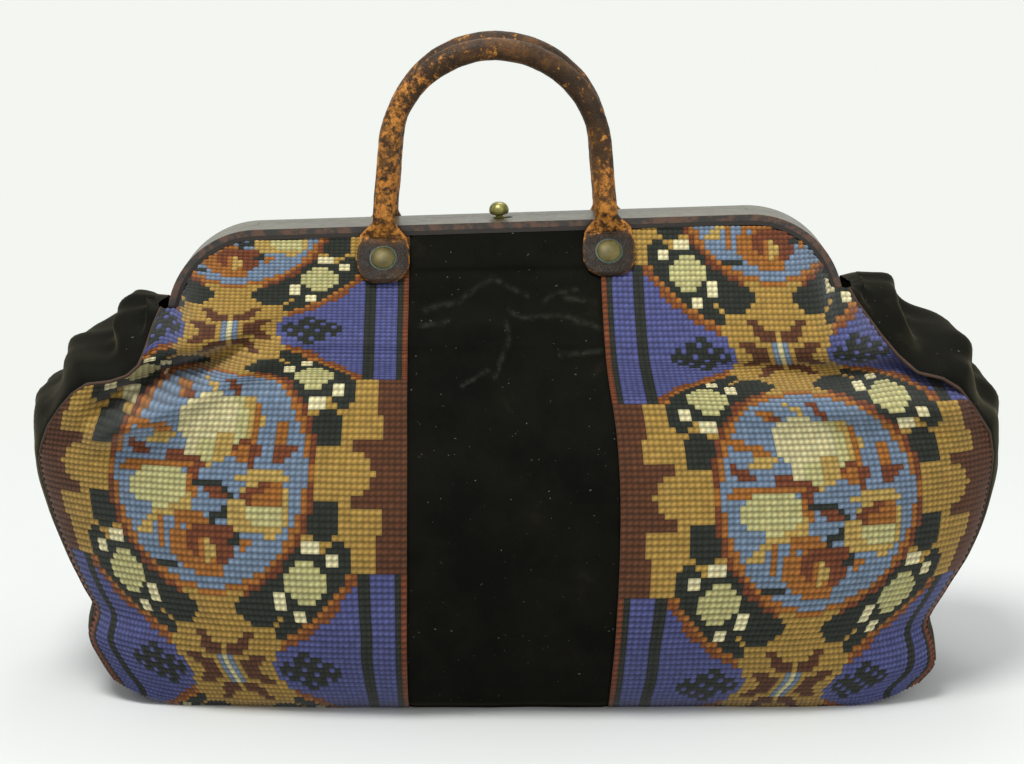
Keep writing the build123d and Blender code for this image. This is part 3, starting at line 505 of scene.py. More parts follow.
def new_mesh(name, points, quads, corner_colours=None, point_values=None, flat=False):
    """Mesh object from millimetre points and faces, with optional colours on face corners and values on points."""
    mesh = bpy.data.meshes.new(name)
    mesh.from_pydata([tuple(c * 0.001 for c in p) for p in points], [], quads)
    if corner_colours is not None:
        layer = mesh.color_attributes.new("wool", "FLOAT_COLOR", "CORNER")
        layer.data.foreach_set("color", np.array(corner_colours, dtype=np.float32).ravel())
    for key, values in (point_values or {}).items():
        layer = mesh.attributes.new(key, "FLOAT", "POINT")
        layer.data.foreach_set("value", np.array(values, dtype=np.float32))
    mesh.polygons.foreach_set("use_smooth", [not flat] * len(mesh.polygons))
    mesh.update()
    return add_object(name, mesh)


def grid_normals(grid):
    """Unit normals of a (columns, rows, 3) grid, by its own differences."""
    along = np.gradient(grid, axis=0)
    down = np.gradient(grid, axis=1)
    normal = np.cross(along, down)
    size = np.linalg.norm(normal, axis=2, keepdims=True)
    return normal / np.maximum(size, 1e-9)


def strip_path(side):
    """Row numbers and (kind, face, level, point) from the front's top, under the base, to the back's top."""
    entries = []
    for face in (-1, 1):
        half = [("side", face, z, face_point(thread_x(0.5, side, z), z, face)) for z in np.arange(262, -0.1, -1.0)]
        foot = half[-1][3]
        half += [("base", face, f, (foot[0], foot[1] * f, 0.0)) for f in np.linspace(1, 0, 31)[1:]]
        entries += half if face < 0 else half[-2::-1]
    run = [0.0]
    low, high, extra, ease = SHELF[side]
    for (kind, _, level, p), (_, _, _, q) in zip(entries, entries[1:]):
        length = sqrt(sum((a - b) ** 2 for a, b in zip(p, q)))
        if kind == "side" and low < level <= high:
            length += extra * PITCH / (high - low)
        if kind == "side" and level > high:
            length *= ease
        if kind == "side" and level < ROUNDEL_Z[side] - 12:
            length *= LOWER_EASE
        run.append(run[-1] + length)
    run = np.array(run)
    anchor = run[[e[:2] == ("side", -1) and abs(e[2] - round(ROUNDEL_Z[side])) < 0.5 for e in entries].index(True)]
    return (anchor - run) / PITCH, entries


def place(value, kind, face, share, side):
    """Point of the cloth for a thread and a level, which is a height or a share of the base's half depth."""
    def x_at(z):
        return thread_x(share, side, z) if side else velvet_x(share, z)
    lift = base_height(x_at(0))
    if kind == "base":
        foot = face_point(x_at(lift), lift, face, 1.0)
        return (foot[0], foot[1] * value, lift)
    if value < 60:
        value += lift * (1 - value / 60)
    return face_point(x_at(value), value, face, 1.0)


def level_list(side, face, step):
    """Levels of one half of a strip as (row, kind, value, face): from the front's top or the back's, to the base."""
    rows, entries = strip_path(side if side else 1)
    boundary = round(rows[[e[0] == "base" and e[2] == 0.0 for e in entries].index(True)]) + 0.5
    start = floor(rows[0]) - 0.5 if face < 0 else floor(rows[-1]) + 1.5
    count = int(round(abs(boundary - start) / step))
    wanted = [start + face * step * k for k in range(count + 1)]
    values = []
    for v, i in zip(wanted, np.interp(wanted, rows[::-1], np.arange(len(rows))[::-1])):
        k = int(min(max(floor(i), 0), len(entries) - 2))
        a, b = entries[k], entries[k + 1]
        q = i - k
        if a[:2] == b[:2]:
            values.append((v, a[0], a[2] + (b[2] - a[2]) * q, a[1]))
        else:
            near = a if q < 0.5 else b
            values.append((v, near[0], near[2], near[1]))
    return values


def even_out(grid, cut):
    """Evens out the needlework beside the legs of the frame, where its threads crowd."""
    for _ in range(EVEN_PASSES):
        even = grid.copy()
        beside = grid[2:, 1:-1] + grid[:-2, 1:-1] + grid[1:-1, 2:] + grid[1:-1, :-2]
        even[1:-1, 1:-1] = 0.2 * (grid[1:-1, 1:-1] + beside)
        near = np.clip((np.abs(grid[:, :, 0] - FRAME_X) - EVEN_X) / EVEN_X_OVER, 0, 1)
        near *= np.clip((grid[:, :, 2] - EVEN_Z) / EVEN_Z_OVER, 0, 1)
        near[cut] = 0
        grid += (even - grid) * near[:, :, None]


def stitched(name, side, face):
    """One half of a needlework strip as raised stitches, trimmed where it meets the frame or the side seam."""
    rng = random.Random(11 + side * 3 + face)
    levels = level_list(side, face, STITCH_STEP)
    columns = 2 * STITCHES + 1
    grid = np.zeros((columns, len(levels), 3))
    cut = np.zeros((columns, len(levels)), dtype=bool)
    for i in range(columns):
        share = i / (columns - 1)
        top = top_of(lambda z, s=share: thread_x(s, side, z), face)
        for j, (_, kind, value, part) in enumerate(levels):
            cut[i, j] = kind == "side" and value > top
            grid[i, j] = place(top if cut[i, j] else value, kind, part, share, side)
    even_out(grid, cut)
    out = grid_normals(grid)
    if np.mean(out[:, :, 1]) * face < 0:
        out = -out
    middle_row = np.array([int(abs(level[0] - round(level[0])) < 0.2) for level in levels])[None, :]
    middle_column = (np.arange(columns) % 2)[:, None]
    # painted shade: each stitch's colour is darkened toward the grooves at its edges and lifted at its middle
    stitch_shade = PAINTED_STITCH_SHADE[middle_row, middle_column]
    grid = grid + out * RELIEF[middle_row, middle_column][:, :, None]
    index = np.arange(columns * len(levels)).reshape(columns, len(levels))
    quads, colours = [], []
    wool_at = {}
    for i in range(columns - 1):
        for j in range(len(levels) - 1):
            if cut[i:i + 2, j:j + 2].all():
                continue
            stitch = (i // 2, int(round((levels[j][0] + levels[j + 1][0]) / 2)))
            if stitch not in wool_at:
                wool_at[stitch] = shade(rng, needlework(side * (stitch[0] + 0.5 - AXIS), stitch[1]))
            corners = [(i, j), (i + 1, j), (i + 1, j + 1), (i, j + 1)]
            if side * face < 0:
                corners.reverse()
            quads.append([int(index[c]) for c in corners])
            # the painted groove shade and crown highlight multiply each corner's wool colour
            colours += [(*(c * stitch_shade[corner] for c in wool_at[stitch]), 1.0) for corner in corners]
    used = sorted({v for q in quads for v in q})
    renumber = {v: k for k, v in enumerate(used)}
    obj = new_mesh(name, grid.reshape(-1, 3)[used], [[renumber[v] for v in q] for q in quads], colours)
    return obj, (STITCHES * PITCH * 0.001, len(levels) * STITCH_STEP * PITCH * 0.001)


def cloth_grid(name, grid, values=None, closed=False, caps=()):
    """Grid of points as a smooth surface, closed into a tube where asked, with further faces as its caps."""
    columns, rows = grid.shape[:2]
    index = np.arange(columns * rows).reshape(columns, rows)
    pairs = [(i, i + 1) for i in range(columns - 1)] + ([(columns - 1, 0)] if closed else [])
    quads = [[int(index[a, j]), int(index[b, j]), int(index[b, j + 1]), int(index[a, j + 1])]
             for a, b in pairs for j in range(rows - 1)]
    return new_mesh(name, grid.reshape(-1, 3), quads + list(caps), point_values=values)


def socket(node, name, value):
    """Gives a node's input a number or a colour, or links another node's output to it."""
    if isinstance(value, bpy.types.NodeSocket):
        node.id_data.links.new(value, node.inputs[name])
    else:
        node.inputs[name].default_value = value


def new_material(name, colour, rough, metallic=0.0):
    mat = bpy.data.materials.new(name)
    mat.use_nodes = True
    shader = mat.node_tree.nodes["Principled BSDF"]
    socket(shader, "Base Color", (*colour, 1.0))
    socket(shader, "Roughness", rough)
    socket(shader, "Metallic", metallic)
    return mat, mat.node_tree, shader


def own_coords(tree):
    return tree.nodes.new("ShaderNodeTexCoord").outputs["Object"]


def add_noise(tree, scale, detail=3.0, rough=0.6):
    tex = tree.nodes.new("ShaderNodeTexNoise")
    socket(tex, "Scale", scale)
    socket(tex, "Detail", detail)
    socket(tex, "Roughness", rough)
    socket(tex, "Vector", own_coords(tree))
    return tex.outputs["Fac"]


def add_ramp(tree, source, stops):
    """Colour ramp over (position, colour or grey) stops."""
    ramp = tree.nodes.new("ShaderNodeValToRGB")
    while len(ramp.color_ramp.elements) < len(stops):
        ramp.color_ramp.elements.new(0.5)
    for element, (at, colour) in zip(ramp.color_ramp.elements, stops):
        element.position = at
        element.color = (*(colour if isinstance(colour, tuple) else [colour] * 3), 1.0)
    socket(ramp, "Fac", source)
    return ramp.outputs["Color"]


def add_bump(tree, shader, height, strength, distance):
    bump = tree.nodes.new("ShaderNodeBump")
    socket(bump, "Strength", strength)
    socket(bump, "Distance", distance)
    socket(bump, "Height", height)
    socket(shader, "Normal", bump.outputs["Normal"])


def mix(tree, factor, a, b, mode="MIX"):
    """Mix of two colours. Inputs 6 and 7 and output 2 are the node's colour ones."""
    node = tree.nodes.new("ShaderNodeMix")
    node.data_type = "RGBA"
    node.blend_type = mode
    for at, value in ((0, factor), (6, a), (7, b)):
        socket(node, at, value)
    return node.outputs[2]


def calc(tree, operation, *values):
    """Output of a math node over numbers and other nodes' outputs."""
    node = tree.nodes.new("ShaderNodeMath")
    node.operation = operation
    for at, value in enumerate(values):
        socket(node, at, value)
    return node.outputs[0]


def attribute(tree, name, output="Fac"):
    node = tree.nodes.new("ShaderNodeAttribute")
    node.attribute_name = name
    return node.outputs[output]


def map_range(tree, value, low, high):
    node = tree.nodes.new("ShaderNodeMapRange")
    socket(node, "From Min", low)
    socket(node, "From Max", high)
    socket(node, "Value", value)
    return node


def mix_surfaces(tree, output, *values):
    """Mixes two shaders by a factor, into a tree's output."""
    node = tree.nodes.new("ShaderNodeMixShader")
    for at, value in enumerate(values):
        socket(node, at, value)
    socket(tree.nodes[output], "Surface", node.outputs[0])


def wool_material():
    mat, tree, shader = new_material("wool", (0.3, 0.2, 0.1), 0.95)
    tone = add_ramp(tree, add_noise(tree, 260.0, 4.0, 0.7), [(0.25, 0.82), (0.75, 1.16)])
    socket(shader, "Base Color", mix(tree, 1.0, attribute(tree, "wool", "Color"), tone, "MULTIPLY"))
    socket(shader, "Sheen Weight", 0.18)
    socket(shader, "Sheen Roughness", 0.5)
    socket(shader, "Specular IOR Level", 0.2)
    add_bump(tree, shader, add_noise(tree, 1500.0, 2.0, 0.6), 0.5, 0.0004)
    return mat


def velvet_material(name, bright, sheen):
    """Nearly black pile with specks of lint, and a painted highlight of flattened pile along its creases, taken from a
    point attribute.
    """
    mat, tree, shader = new_material(name, (0.004, 0.004, 0.0025), 0.85)
    colour = add_ramp(tree, add_noise(tree, 26.0, 5.0, 0.65),
                      [(0.4, (0.0022, 0.0022, 0.0014)), (0.62, (0.0045, 0.0043, 0.0026)), (0.8, bright)])
    lint = add_ramp(tree, add_noise(tree, 520.0, 2.0, 0.5), [(0.735, 0.0), (0.76, 1.0)])
    crush_highlight_breakup = add_ramp(tree, add_noise(tree, 240.0, 3.0, 0.6), [(0.4, 0.15), (0.62, 1.0)])
    # painted highlight: pale colour along the velvet's creases, for flattened pile and the light on the fold ridges
    colour = mix(tree, calc(tree, "MULTIPLY", attribute(tree, "crush_highlight"), crush_highlight_breakup), colour, (0.020, 0.020, 0.015, 1.0))
    socket(shader, "Base Color", mix(tree, lint, colour, (0.09, 0.09, 0.07, 1.0)))
    socket(shader, "Specular IOR Level", 0.06)
    socket(shader, "Sheen Weight", sheen)
    socket(shader, "Sheen Roughness", 0.3)
    socket(shader, "Sheen Tint", (0.40, 0.36, 0.2, 1.0))
    add_bump(tree, shader, add_noise(tree, 900.0, 3.0, 0.6), 0.35, 0.0004)
    return mat


def leather_material():
    """Dark cracked leather, worn to orange where the "wear" attribute beats the grain."""
    mat, tree, shader = new_material("handle_leather", (0.05, 0.026, 0.014), 0.55)
    base = add_ramp(tree, add_noise(tree, 55.0, 6.0, 0.7),
                    [(0.3, linear(30, 21, 11)), (0.52, linear(60, 40, 20)), (0.72, linear(112, 74, 34))])
    grain = add_noise(tree, 240.0, 5.0, 0.72)
    worn = add_ramp(tree, grain, [(0.3, linear(116, 72, 30)), (0.6, linear(178, 116, 46)), (0.8, linear(204, 150, 78))])
    wear = attribute(tree, "wear")
    mask = add_ramp(tree, calc(tree, "ADD", wear, grain), [(0.84, 0.0), (1.0, 1.0)])
    grease = add_ramp(tree, wear, [(0.14, (0.3, 0.3, 0.26)), (0.28, 1.0)])
    socket(shader, "Base Color", mix(tree, mask, mix(tree, 1.0, base, grease, "MULTIPLY"), worn))
    socket(shader, "Specular IOR Level", 0.2)
    cracks = tree.nodes.new("ShaderNodeTexVoronoi")
    cracks.feature = "DISTANCE_TO_EDGE"
    socket(cracks, "Scale", 520.0)
    socket(cracks, "Vector", own_coords(tree))
    add_bump(tree, shader, cracks.outputs["Distance"], 0.5, 0.0008)
    socket(shader, "Roughness", add_ramp(tree, grain, [(0.3, 0.42), (0.7, 0.68)]))
    return mat


def two_tone(name, colour, rough, dark, scale, detail, metallic=0.0, stops=(0.3, 0.7)):
    """Plain material that wanders between two colours."""
    mat, tree, shader = new_material(name, colour, rough, metallic)
    tone = add_ramp(tree, add_noise(tree, scale, detail, 0.6), [(stops[0], dark), (stops[1], colour)])
    socket(shader, "Base Color", tone)
    return mat


def metal_material(name, colour, rough, metallic, spots, scale):
    return two_tone(name, colour, rough, spots, scale, 5.0, metallic, (0.35, 0.62))


def plain_material(name, colour, rough, dark=0.7, scale=80.0):
    return two_tone(name, colour, rough, tuple(c * dark for c in colour), scale, 4.0)


def stud_material():
    """Dark old brass, green with verdigris round the rim."""
    mat, tree, shader = new_material("stud_brass", linear(80, 74, 32), 0.5, 0.35)
    base = add_ramp(tree, add_noise(tree, 120.0, 5.0, 0.6), [(0.35, linear(66, 58, 24)), (0.65, linear(98, 88, 38))])
    green = add_ramp(tree, add_noise(tree, 1400.0, 3.0, 0.7), [(0.5, linear(22, 24, 16)), (0.62, linear(18, 74, 56))])
    rim = attribute(tree, "rim")
    socket(shader, "Base Color", mix(tree, rim, base, green))
    socket(shader, "Metallic", calc(tree, "MULTIPLY_ADD", rim, -0.35, 0.35))
    return mat


def enamel_material():
    """Old dark enamel with a dull shine, its narrow front face painted darker as shade and rubbed to brown along its
    front edge.
    """
    mat, tree, shader = new_material("frame_enamel", linear(70, 62, 50), 0.34)
    base = add_ramp(tree, add_noise(tree, 24.0, 5.0, 0.6), [(0.3, linear(54, 48, 34)), (0.7, linear(78, 72, 50))])
    axes = tree.nodes.new("ShaderNodeSeparateXYZ")
    socket(axes, 0, own_coords(tree))
    lip_shade_and_rub = map_range(tree, axes.outputs["Y"], -0.0151, -0.0159).outputs["Result"]
    chips = add_noise(tree, 160.0, 6.0, 0.7)
    mask = calc(tree, "MULTIPLY", lip_shade_and_rub, add_ramp(tree, chips, [(0.45, 0.0), (0.56, 1.0)]))
    # painted shade: the jaw's narrow front face gets a darker colour than its top, with brown chips of real wear along
    # it
    shaded_lip = mix(tree, lip_shade_and_rub, base, (*linear(26, 20, 14), 1.0))
    socket(shader, "Base Color", mix(tree, mask, shaded_lip, (*linear(78, 48, 28), 1.0)))
    socket(shader, "Specular IOR Level", 0.7)
    socket(shader, "Roughness", add_ramp(tree, chips, [(0.3, 0.28), (0.7, 0.42)]))
    return mat


wool = wool_material()
velvet = velvet_material("velvet", (0.013, 0.012, 0.008), 0.16)
side_velvet = velvet_material("side_velvet", (0.016, 0.016, 0.007), 0.30)
leather = leather_material()
enamel = enamel_material()
brass = metal_material("old_brass", linear(152, 146, 86), 0.36, 0.8, linear(96, 96, 48), 220.0)
stud_brass = stud_material()
steel = metal_material("dull_steel", linear(120, 116, 108), 0.45, 0.9, linear(86, 80, 72), 120.0)
welt_leather = plain_material("edging", linear(34, 28, 22), 0.7)
cotton = plain_material("lining_cotton", linear(170, 152, 118), 0.9, 0.85, 200.0)
board = plain_material("board", linear(150, 124, 92), 0.9, 0.8, 120.0)
piping_mat = plain_material("piping", linear(64, 42, 26), 0.85, 0.6, 160.0)


def dress(obj, mat, centre=None):
    """Gives a piece its material, and turns its faces away from a centre point in metres."""
    if centre:
        total = sum((p.center - Vector(centre)).dot(p.normal) * p.area for p in obj.data.polygons)
        if total < 0:
            obj.data.flip_normals()
    obj.data.materials.clear()
    obj.data.materials.append(mat)


FACES = {-1: ("front", "front_frame"), 1: ("back", "back_frame")}
SIDES = {-1: "left", 1: "right"}
MIDDLE = (0, 0, 0.1)


def bend(obj):
    """Bakes a piece's placement into its points."""
    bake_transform(obj)


# Needlework strips, in a front and a back half each
for side, hand in SIDES.items():
    for face, (end, _) in FACES.items():
        panel, flat = stitched(f"{end}_needlework_{hand}", side, face)
        dress(panel, wool)
        bend(panel)
        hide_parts(f"{end}_band_needlework_{hand}", *([f"needlework_{hand}"] if face < 0 else []))

# Velvet strip down the middle of each face and under the base
for face, (end, _) in FACES.items():
    levels = [level for level in level_list(0, face, VELVET_STEP) if level[1] == "base" or level[2] <= 256]
    grid = np.zeros((VELVET_COLUMNS, len(levels), 3))
    crush_highlight = np.zeros((VELVET_COLUMNS, len(levels)))
    for i in range(VELVET_COLUMNS):
        share = i / (VELVET_COLUMNS - 1)
        top = top_of(lambda z, s=share: velvet_x(s, z), face)
        sink = SINK * (1 - smooth(share / 0.05) * smooth((1 - share) / 0.05))
        for j, (_, kind, value, part) in enumerate(levels):
            x, y, z = place(min(value, top) if kind == "side" else value, kind, part, share, 0)
            tuck = 0.0
            if kind == "side" and face < 0 and value < 240:
                # painted highlight along the creases, which also lifts the cloth there a little
                crush_highlight[i, j] = near_crush_highlight(x, z) * (1 - sink / SINK)
                tuck = 0.8 * crush_highlight[i, j] - 2.2 * exp(-((z - TUCK_Z - 0.02 * x) / 2.4) ** 2) * (1 - sink / SINK)
            grid[i, j] = (x, y + face * (tuck - sink), z) if kind == "side" else (x, y, z + sink)
    strip = cloth_grid(f"{end}_velvet", grid, {"crush_highlight": crush_highlight.ravel()})
    dress(strip, velvet, MIDDLE)
    bend(strip)
    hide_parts(f"{end}_band_velvet", *(["velvet_strip"] if face < 0 else []))


def seam_points(side, face):
    """Side seam of a face, from the frame down its table and on along the needlework's outer thread."""
    seam = SEAMS[face][side]
    upper = [(side * x, face * depth, z) for x, z, depth in seam]
    low = base_height(thread_x(1.0, side, 0))
    start = seam[-1][1]
    edge = []
    for i in range(1, 41):
        z = start + (low - start) * i / 40
        edge.append(face_point(thread_x(1.0, side, z), z, face, 1.0))
    return upper + edge


def gusset(side):
    """Velvet side piece, gathered between the front and back seams."""
    rows, columns = GUSSET_ROWS, GUSSET_COLUMNS
    front, back = spread(seam_points(side, -1), rows), spread(seam_points(side, 1), rows)
    grid = np.zeros((columns + 1, rows + 1, 3))
    for i in range(columns + 1):
        s = i / columns
        hump = (4 * s * (1 - s)) ** 0.7
        for j in range(rows + 1):
            t = j / rows
            p = front[j] + (back[j] - front[j]) * s
            upper = smooth((0.62 - t) / 0.3) * smooth(t / 0.07)
            wander = noise.noise(Vector((s * 2.2 + side * 5, t * 5.0, 0.3)))
            gather = 4.6 * sin(t * 46.0 + 2.4 * s + 2.2 * wander) * upper
            gather += 2.2 * noise.noise(Vector((s * 6.0, t * 9.0 + side * 3, 1.9))) * (0.4 + upper)
            bulge = GUSSET_BULGE * (1 - 0.7 * abs(2 * t - 1) ** 2) + gather * hump
            grid[i, j] = p + np.array((side * bulge * hump, 0.0, (9.0 * upper + 0.5 * gather) * hump))
    obj = cloth_grid(f"gusset_{SIDES[side]}_velvet", grid)
    dress(obj, side_velvet, MIDDLE)
    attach(obj, "bag_body")
    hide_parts(f"gusset_{SIDES[side]}")


for side in SIDES:
    gusset(side)


def tube(name, points, radius, sides=8):
    """Round cord through a run of points."""
    points = [Vector(p) for p in points]
    grid = np.zeros((sides, len(points), 3))
    for j, p in enumerate(points):
        run = (points[min(j + 1, len(points) - 1)] - points[max(j - 1, 0)]).normalized()
        side_way = run.cross(Vector((0, 0, 1)) if abs(run.z) < 0.9 else Vector((1, 0, 0))).normalized()
        up = side_way.cross(run)
        for i in range(sides):
            turn = 2 * pi * i / sides
            grid[i, j] = p + radius * (cos(turn) * side_way + sin(turn) * up)
    return cloth_grid(name, grid, closed=True)


for side, hand in SIDES.items():
    for face, (end, _) in FACES.items():
        line = spread(seam_points(side, face), PIPING_POINTS)
        cord = tube(f"{end}_piping_{hand}", line, PIPING_RADIUS)
        dress(cord, piping_mat, tuple(line.mean(axis=0) * 0.001))
        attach(cord, "bag_body")


# Lining: loose cotton sewn in under the lips, hanging down inside each face and meeting on the bottom
steps = [i / LINING_THREADS for i in range(LINING_THREADS)]
shares = [(-1, 0.94 - step) for step in steps] + [(1, 0.01 + step) for step in steps]
for face, (end, _) in FACES.items():
    grid = np.zeros((len(shares), LINING_ROWS + 2, 3))
    for i, (side, share) in enumerate(shares):
        high = top_of(lambda z, s=share, d=side: thread_x(s, d, z), face) - 1.5
        for k in range(LINING_ROWS + 1):
            z = high + (LINING_FOOT - high) * k / LINING_ROWS
            x = thread_x(share, side, z) * (1 - 0.07 * share)
            inset = 2.4 + 5.6 * smooth((high - z) / 30) + (20.0 * exp(-((z - 180) / 26) ** 2) if face < 0 else 0.0)
            grid[i, k] = (x, face * max(cloth_depth(x, z, face)[0] - inset, 4.0), z)
        grid[i, -1] = (grid[i, -2, 0], 0.0, LINING_FOOT)
    hanging = cloth_grid(f"{end}_lining_cloth", grid)
    dress(hanging, cotton, MIDDLE)
    bend(hanging)
    if face < 0:
        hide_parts("lining")


# Handles: one leather piece from the left tab, round the grip, to the right tab
PLACE = (Matrix.Translation((FRAME_X, 0, FRAME_TOP)) @ Matrix.Rotation(-radians(FRAME_TILT), 4, "Y")
         @ Matrix.Translation((0, 0, -FRAME_TOP)))
TAB_LIFT = 0.1
HINGE_LIFT = NECK_THICK / 2 + TAB_LIFT
NECK_HALF = NECK_WIDTH / 2 + 1.6
TAB_STEPS, NECK_STEPS, LEG_STEPS, ARCH_STEPS = 52, 24, 12, 60
FEET = [HANDLE_X - FRAME_X + s * (HANDLE_RADIUS * cos(radians(HANDLE_SPLAY)) + 4.0) for s in (-1, 1)]


def on_slope(x, drop, lift):
    """World point on the front slope of the cloth, in the frame's axes."""
    y = -(CLOTH_TOP_Y + drop * SLOPE_OUT + lift * SLOPE_DOWN)
    z = CLOTH_TOP_Z - drop * SLOPE_DOWN + lift * SLOPE_OUT
    return PLACE @ Vector((x, y, z))


ROLL_Y = on_slope(0, HINGE_DROP, HINGE_LIFT).y - HANDLE_SETBACK
# Small ripples across the leather near its crease: how high and how close
RIPPLE = 0.16
RIPPLE_RATE = 3.1


def handle_leg(side, x, outward, forward):
    """Sections of one end of the front handle, from the tab's foot up to the arch."""
    leg = []
    reach = STUD_DROP + TAB_RADIUS
    crease_drop = HINGE_DROP + 2.0
    for k in range(TAB_STEPS + 1):
        drop = reach - (reach - crease_drop) * k / TAB_STEPS
        below = drop - STUD_DROP
        if below > 0:
            half = TAB_RADIUS * max(1 - (below / TAB_RADIUS) ** 2.5, 0.0) ** 0.4
        else:
            half = TAB_RADIUS + (NECK_HALF - TAB_RADIUS) * (-below / (STUD_DROP - crease_drop)) ** 2.4
        thick = TAB_THICK / 2 * min(1.0, 0.35 + 0.65 * min(1.0, (reach - drop) / 1.6))
        thick += RIPPLE * sin(drop * RIPPLE_RATE) * smooth((STUD_DROP - 7.0 - drop) / 2)
        wear = 0.1 + 0.28 * smooth((STUD_DROP - 6 - drop) / 7)
        leg.append((on_slope(x, drop, TAB_THICK / 2 + TAB_LIFT), outward, max(half, 0.3), thick, wear))
    splay = radians(HANDLE_SPLAY)
    foot = on_slope(x, HINGE_DROP, HINGE_LIFT)
    top = Vector((HANDLE_X + side * HANDLE_RADIUS * cos(splay), ROLL_Y, HANDLE_CENTRE_Z + HANDLE_RADIUS * sin(splay)))
    drop = top.z - foot.z - NECK_HEIGHT
    low = Vector((top.x + side * drop * tan(splay), ROLL_Y, foot.z + NECK_HEIGHT))
    for k in range(NECK_STEPS + 1):
        q = k / NECK_STEPS
        width = NECK_HALF + (HANDLE_ROLL - NECK_HALF) * smooth(min(q * 1.3, 1.0)) ** 0.75
        thick = NECK_THICK / 2 + (HANDLE_ROLL - NECK_THICK / 2) * smooth(q)
        thick += RIPPLE * sin(q * NECK_HEIGHT * RIPPLE_RATE) * (1 - q) ** 2
        across = outward.lerp(forward, smooth(q * 2 + 0.2)).normalized()
        leg.append((foot.lerp(low, q), across, width, thick, 0.38 + 0.06 * q))
    for k in range(1, LEG_STEPS + 1):
        q = k / LEG_STEPS
        wear = 0.44 * (1 - q) + (0.40 if side < 0 else 0.30) * q
        leg.append((low.lerp(top, q), forward, HANDLE_ROLL, HANDLE_ROLL, wear))
    return leg


def handle_stations():
    """Sections of the front handle: centre, thickness direction, half width, half thickness, wear."""
    outward = (PLACE.to_3x3() @ Vector((0, -SLOPE_DOWN, SLOPE_OUT))).normalized()
    forward = Vector((0, -1, 0))
    left, right = [handle_leg(side, x, outward, forward) for side, x in zip((-1, 1), FEET)]
    arch = []
    for k in range(1, ARCH_STEPS):
        turn = radians(180 - HANDLE_SPLAY - (180 - 2 * HANDLE_SPLAY) * k / ARCH_STEPS)
        centre = Vector((HANDLE_X + HANDLE_RADIUS * cos(turn), ROLL_Y, HANDLE_CENTRE_Z + HANDLE_RADIUS * sin(turn)))
        worn = 0.29 + 0.11 * smooth((turn - 1.9) / 0.9) - 0.05 * exp(-((turn - 1.1) / 0.5) ** 2)
        arch.append((centre, forward, HANDLE_ROLL, HANDLE_ROLL, worn))
    return left + arch + right[::-1]


def handle(face):
    end, body = FACES[face]
    stations = handle_stations()
    sides = HANDLE_SIDES
    grid = np.zeros((sides, len(stations), 3))
    wear = np.zeros((sides, len(stations)))
    for j, (centre, across, half, thick, worn) in enumerate(stations):
        a = stations[max(j - 1, 0)][0]
        b = stations[min(j + 1, len(stations) - 1)][0]
        run = (b - a).normalized()
        wide = run.cross(across).normalized()
        across = wide.cross(run).normalized()
        flatness = min(1.0, thick / half)
        power = 1.0 if flatness > 0.9 else 0.55 + 0.45 * flatness
        for i in range(sides):
            turn = 2 * pi * (i + 0.5) / sides
            c, s = cos(turn), sin(turn)
            u = abs(c) ** power * (1 if c > 0 else -1)
            w = abs(s) ** power * (1 if s > 0 else -1)
            p = centre + wide * (half * u) + across * (thick * w)
            bump = 0.35 * noise.noise(p * 0.12) + 0.18 * noise.noise(p * 0.45)
            p = p + (wide * u + across * w) * bump * (0.9 if flatness > 0.5 else 0.25)
            grid[i, j] = p
            edge = smooth((abs(u) - 0.86) / 0.14) if flatness < 0.4 else 0.0
            wear[i, j] = worn + 0.07 * noise.noise(p * 0.1) + 0.26 * edge
    if face > 0:
        grid[:, :, 1] *= -1
    caps = [[i * len(stations) + j for i in range(sides)] for j in (0, len(stations) - 1)]
    obj = cloth_grid(f"{end}_handle_leather", grid, {"wear": wear.ravel()}, closed=True, caps=caps)
    dress(obj, leather, (HANDLE_X * 0.001, 0, 0.23))
    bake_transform(obj)
    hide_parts(f"{end}_handle", f"{end}_tabs")


for face in FACES:
    handle(face)


def lathe(name, profile, axes, sides, values=None):
    """Turned piece from (radius, height) rows on its own axis."""
    grid = np.zeros((sides, len(profile), 3))
    for i in range(sides):
        turn = 2 * pi * i / sides
        for j, (r, h) in enumerate(profile):
            grid[i, j] = axes @ Vector((r * cos(turn), r * sin(turn), h))
    return cloth_grid(name, grid, values, closed=True)


def quarter_turn(count=14):
    """Angles from a turned piece's crown to its edge."""
    return [k / count * pi / 2 for k in range(1, count + 1)]


def metres(point):
    """World point in metres from one in the frame's own millimetres."""
    return tuple((PLACE @ Vector(point)) * 0.001)


def slope_frame(x, face, drop, lift):
    """Axes of a piece that stands on a face's slope."""
    origin = Vector((x, face * (CLOTH_TOP_Y + drop * SLOPE_OUT + lift * SLOPE_DOWN),
                     CLOTH_TOP_Z - drop * SLOPE_DOWN + lift * SLOPE_OUT))
    x_dir = Vector((-face, 0, 0))
    z_dir = Vector((0, face * SLOPE_DOWN, SLOPE_OUT))
    y_dir = z_dir.cross(x_dir)
    turn = Matrix((x_dir, y_dir, z_dir)).transposed().to_4x4()
    return PLACE @ Matrix.Translation(origin) @ turn


for face, (end, body) in FACES.items():
    for hand, x in zip(SIDES.values(), FEET):
        dome = [(0.01, STUD_HEAD + 0.25)]
        dome += [(STUD_HEAD_RADIUS * sin(a), 0.25 + STUD_HEAD * cos(a) ** 1.3) for a in quarter_turn()]
        dome += [(STUD_HEAD_RADIUS + out, h)
                 for out, h in ((0, 0.03), (0.4, 0.02), (0.9, -0.04), (1.3, -0.22))] + [(0.01, -0.4)]
        head = lathe(f"{end}_stud_{hand}", dome, slope_frame(x, face, STUD_DROP, TAB_THICK + 0.25), STUD_SIDES,
                     {"rim": np.tile([0.0] * 15 + [0.6, 1.0, 1.0, 0.8, 0.0], STUD_SIDES)})
        dress(head, stud_brass, tuple(slope_frame(x, face, STUD_DROP, TAB_THICK).translation * 0.001))
        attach(head, body)
        if hand == "left":
            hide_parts(f"{end}_studs")

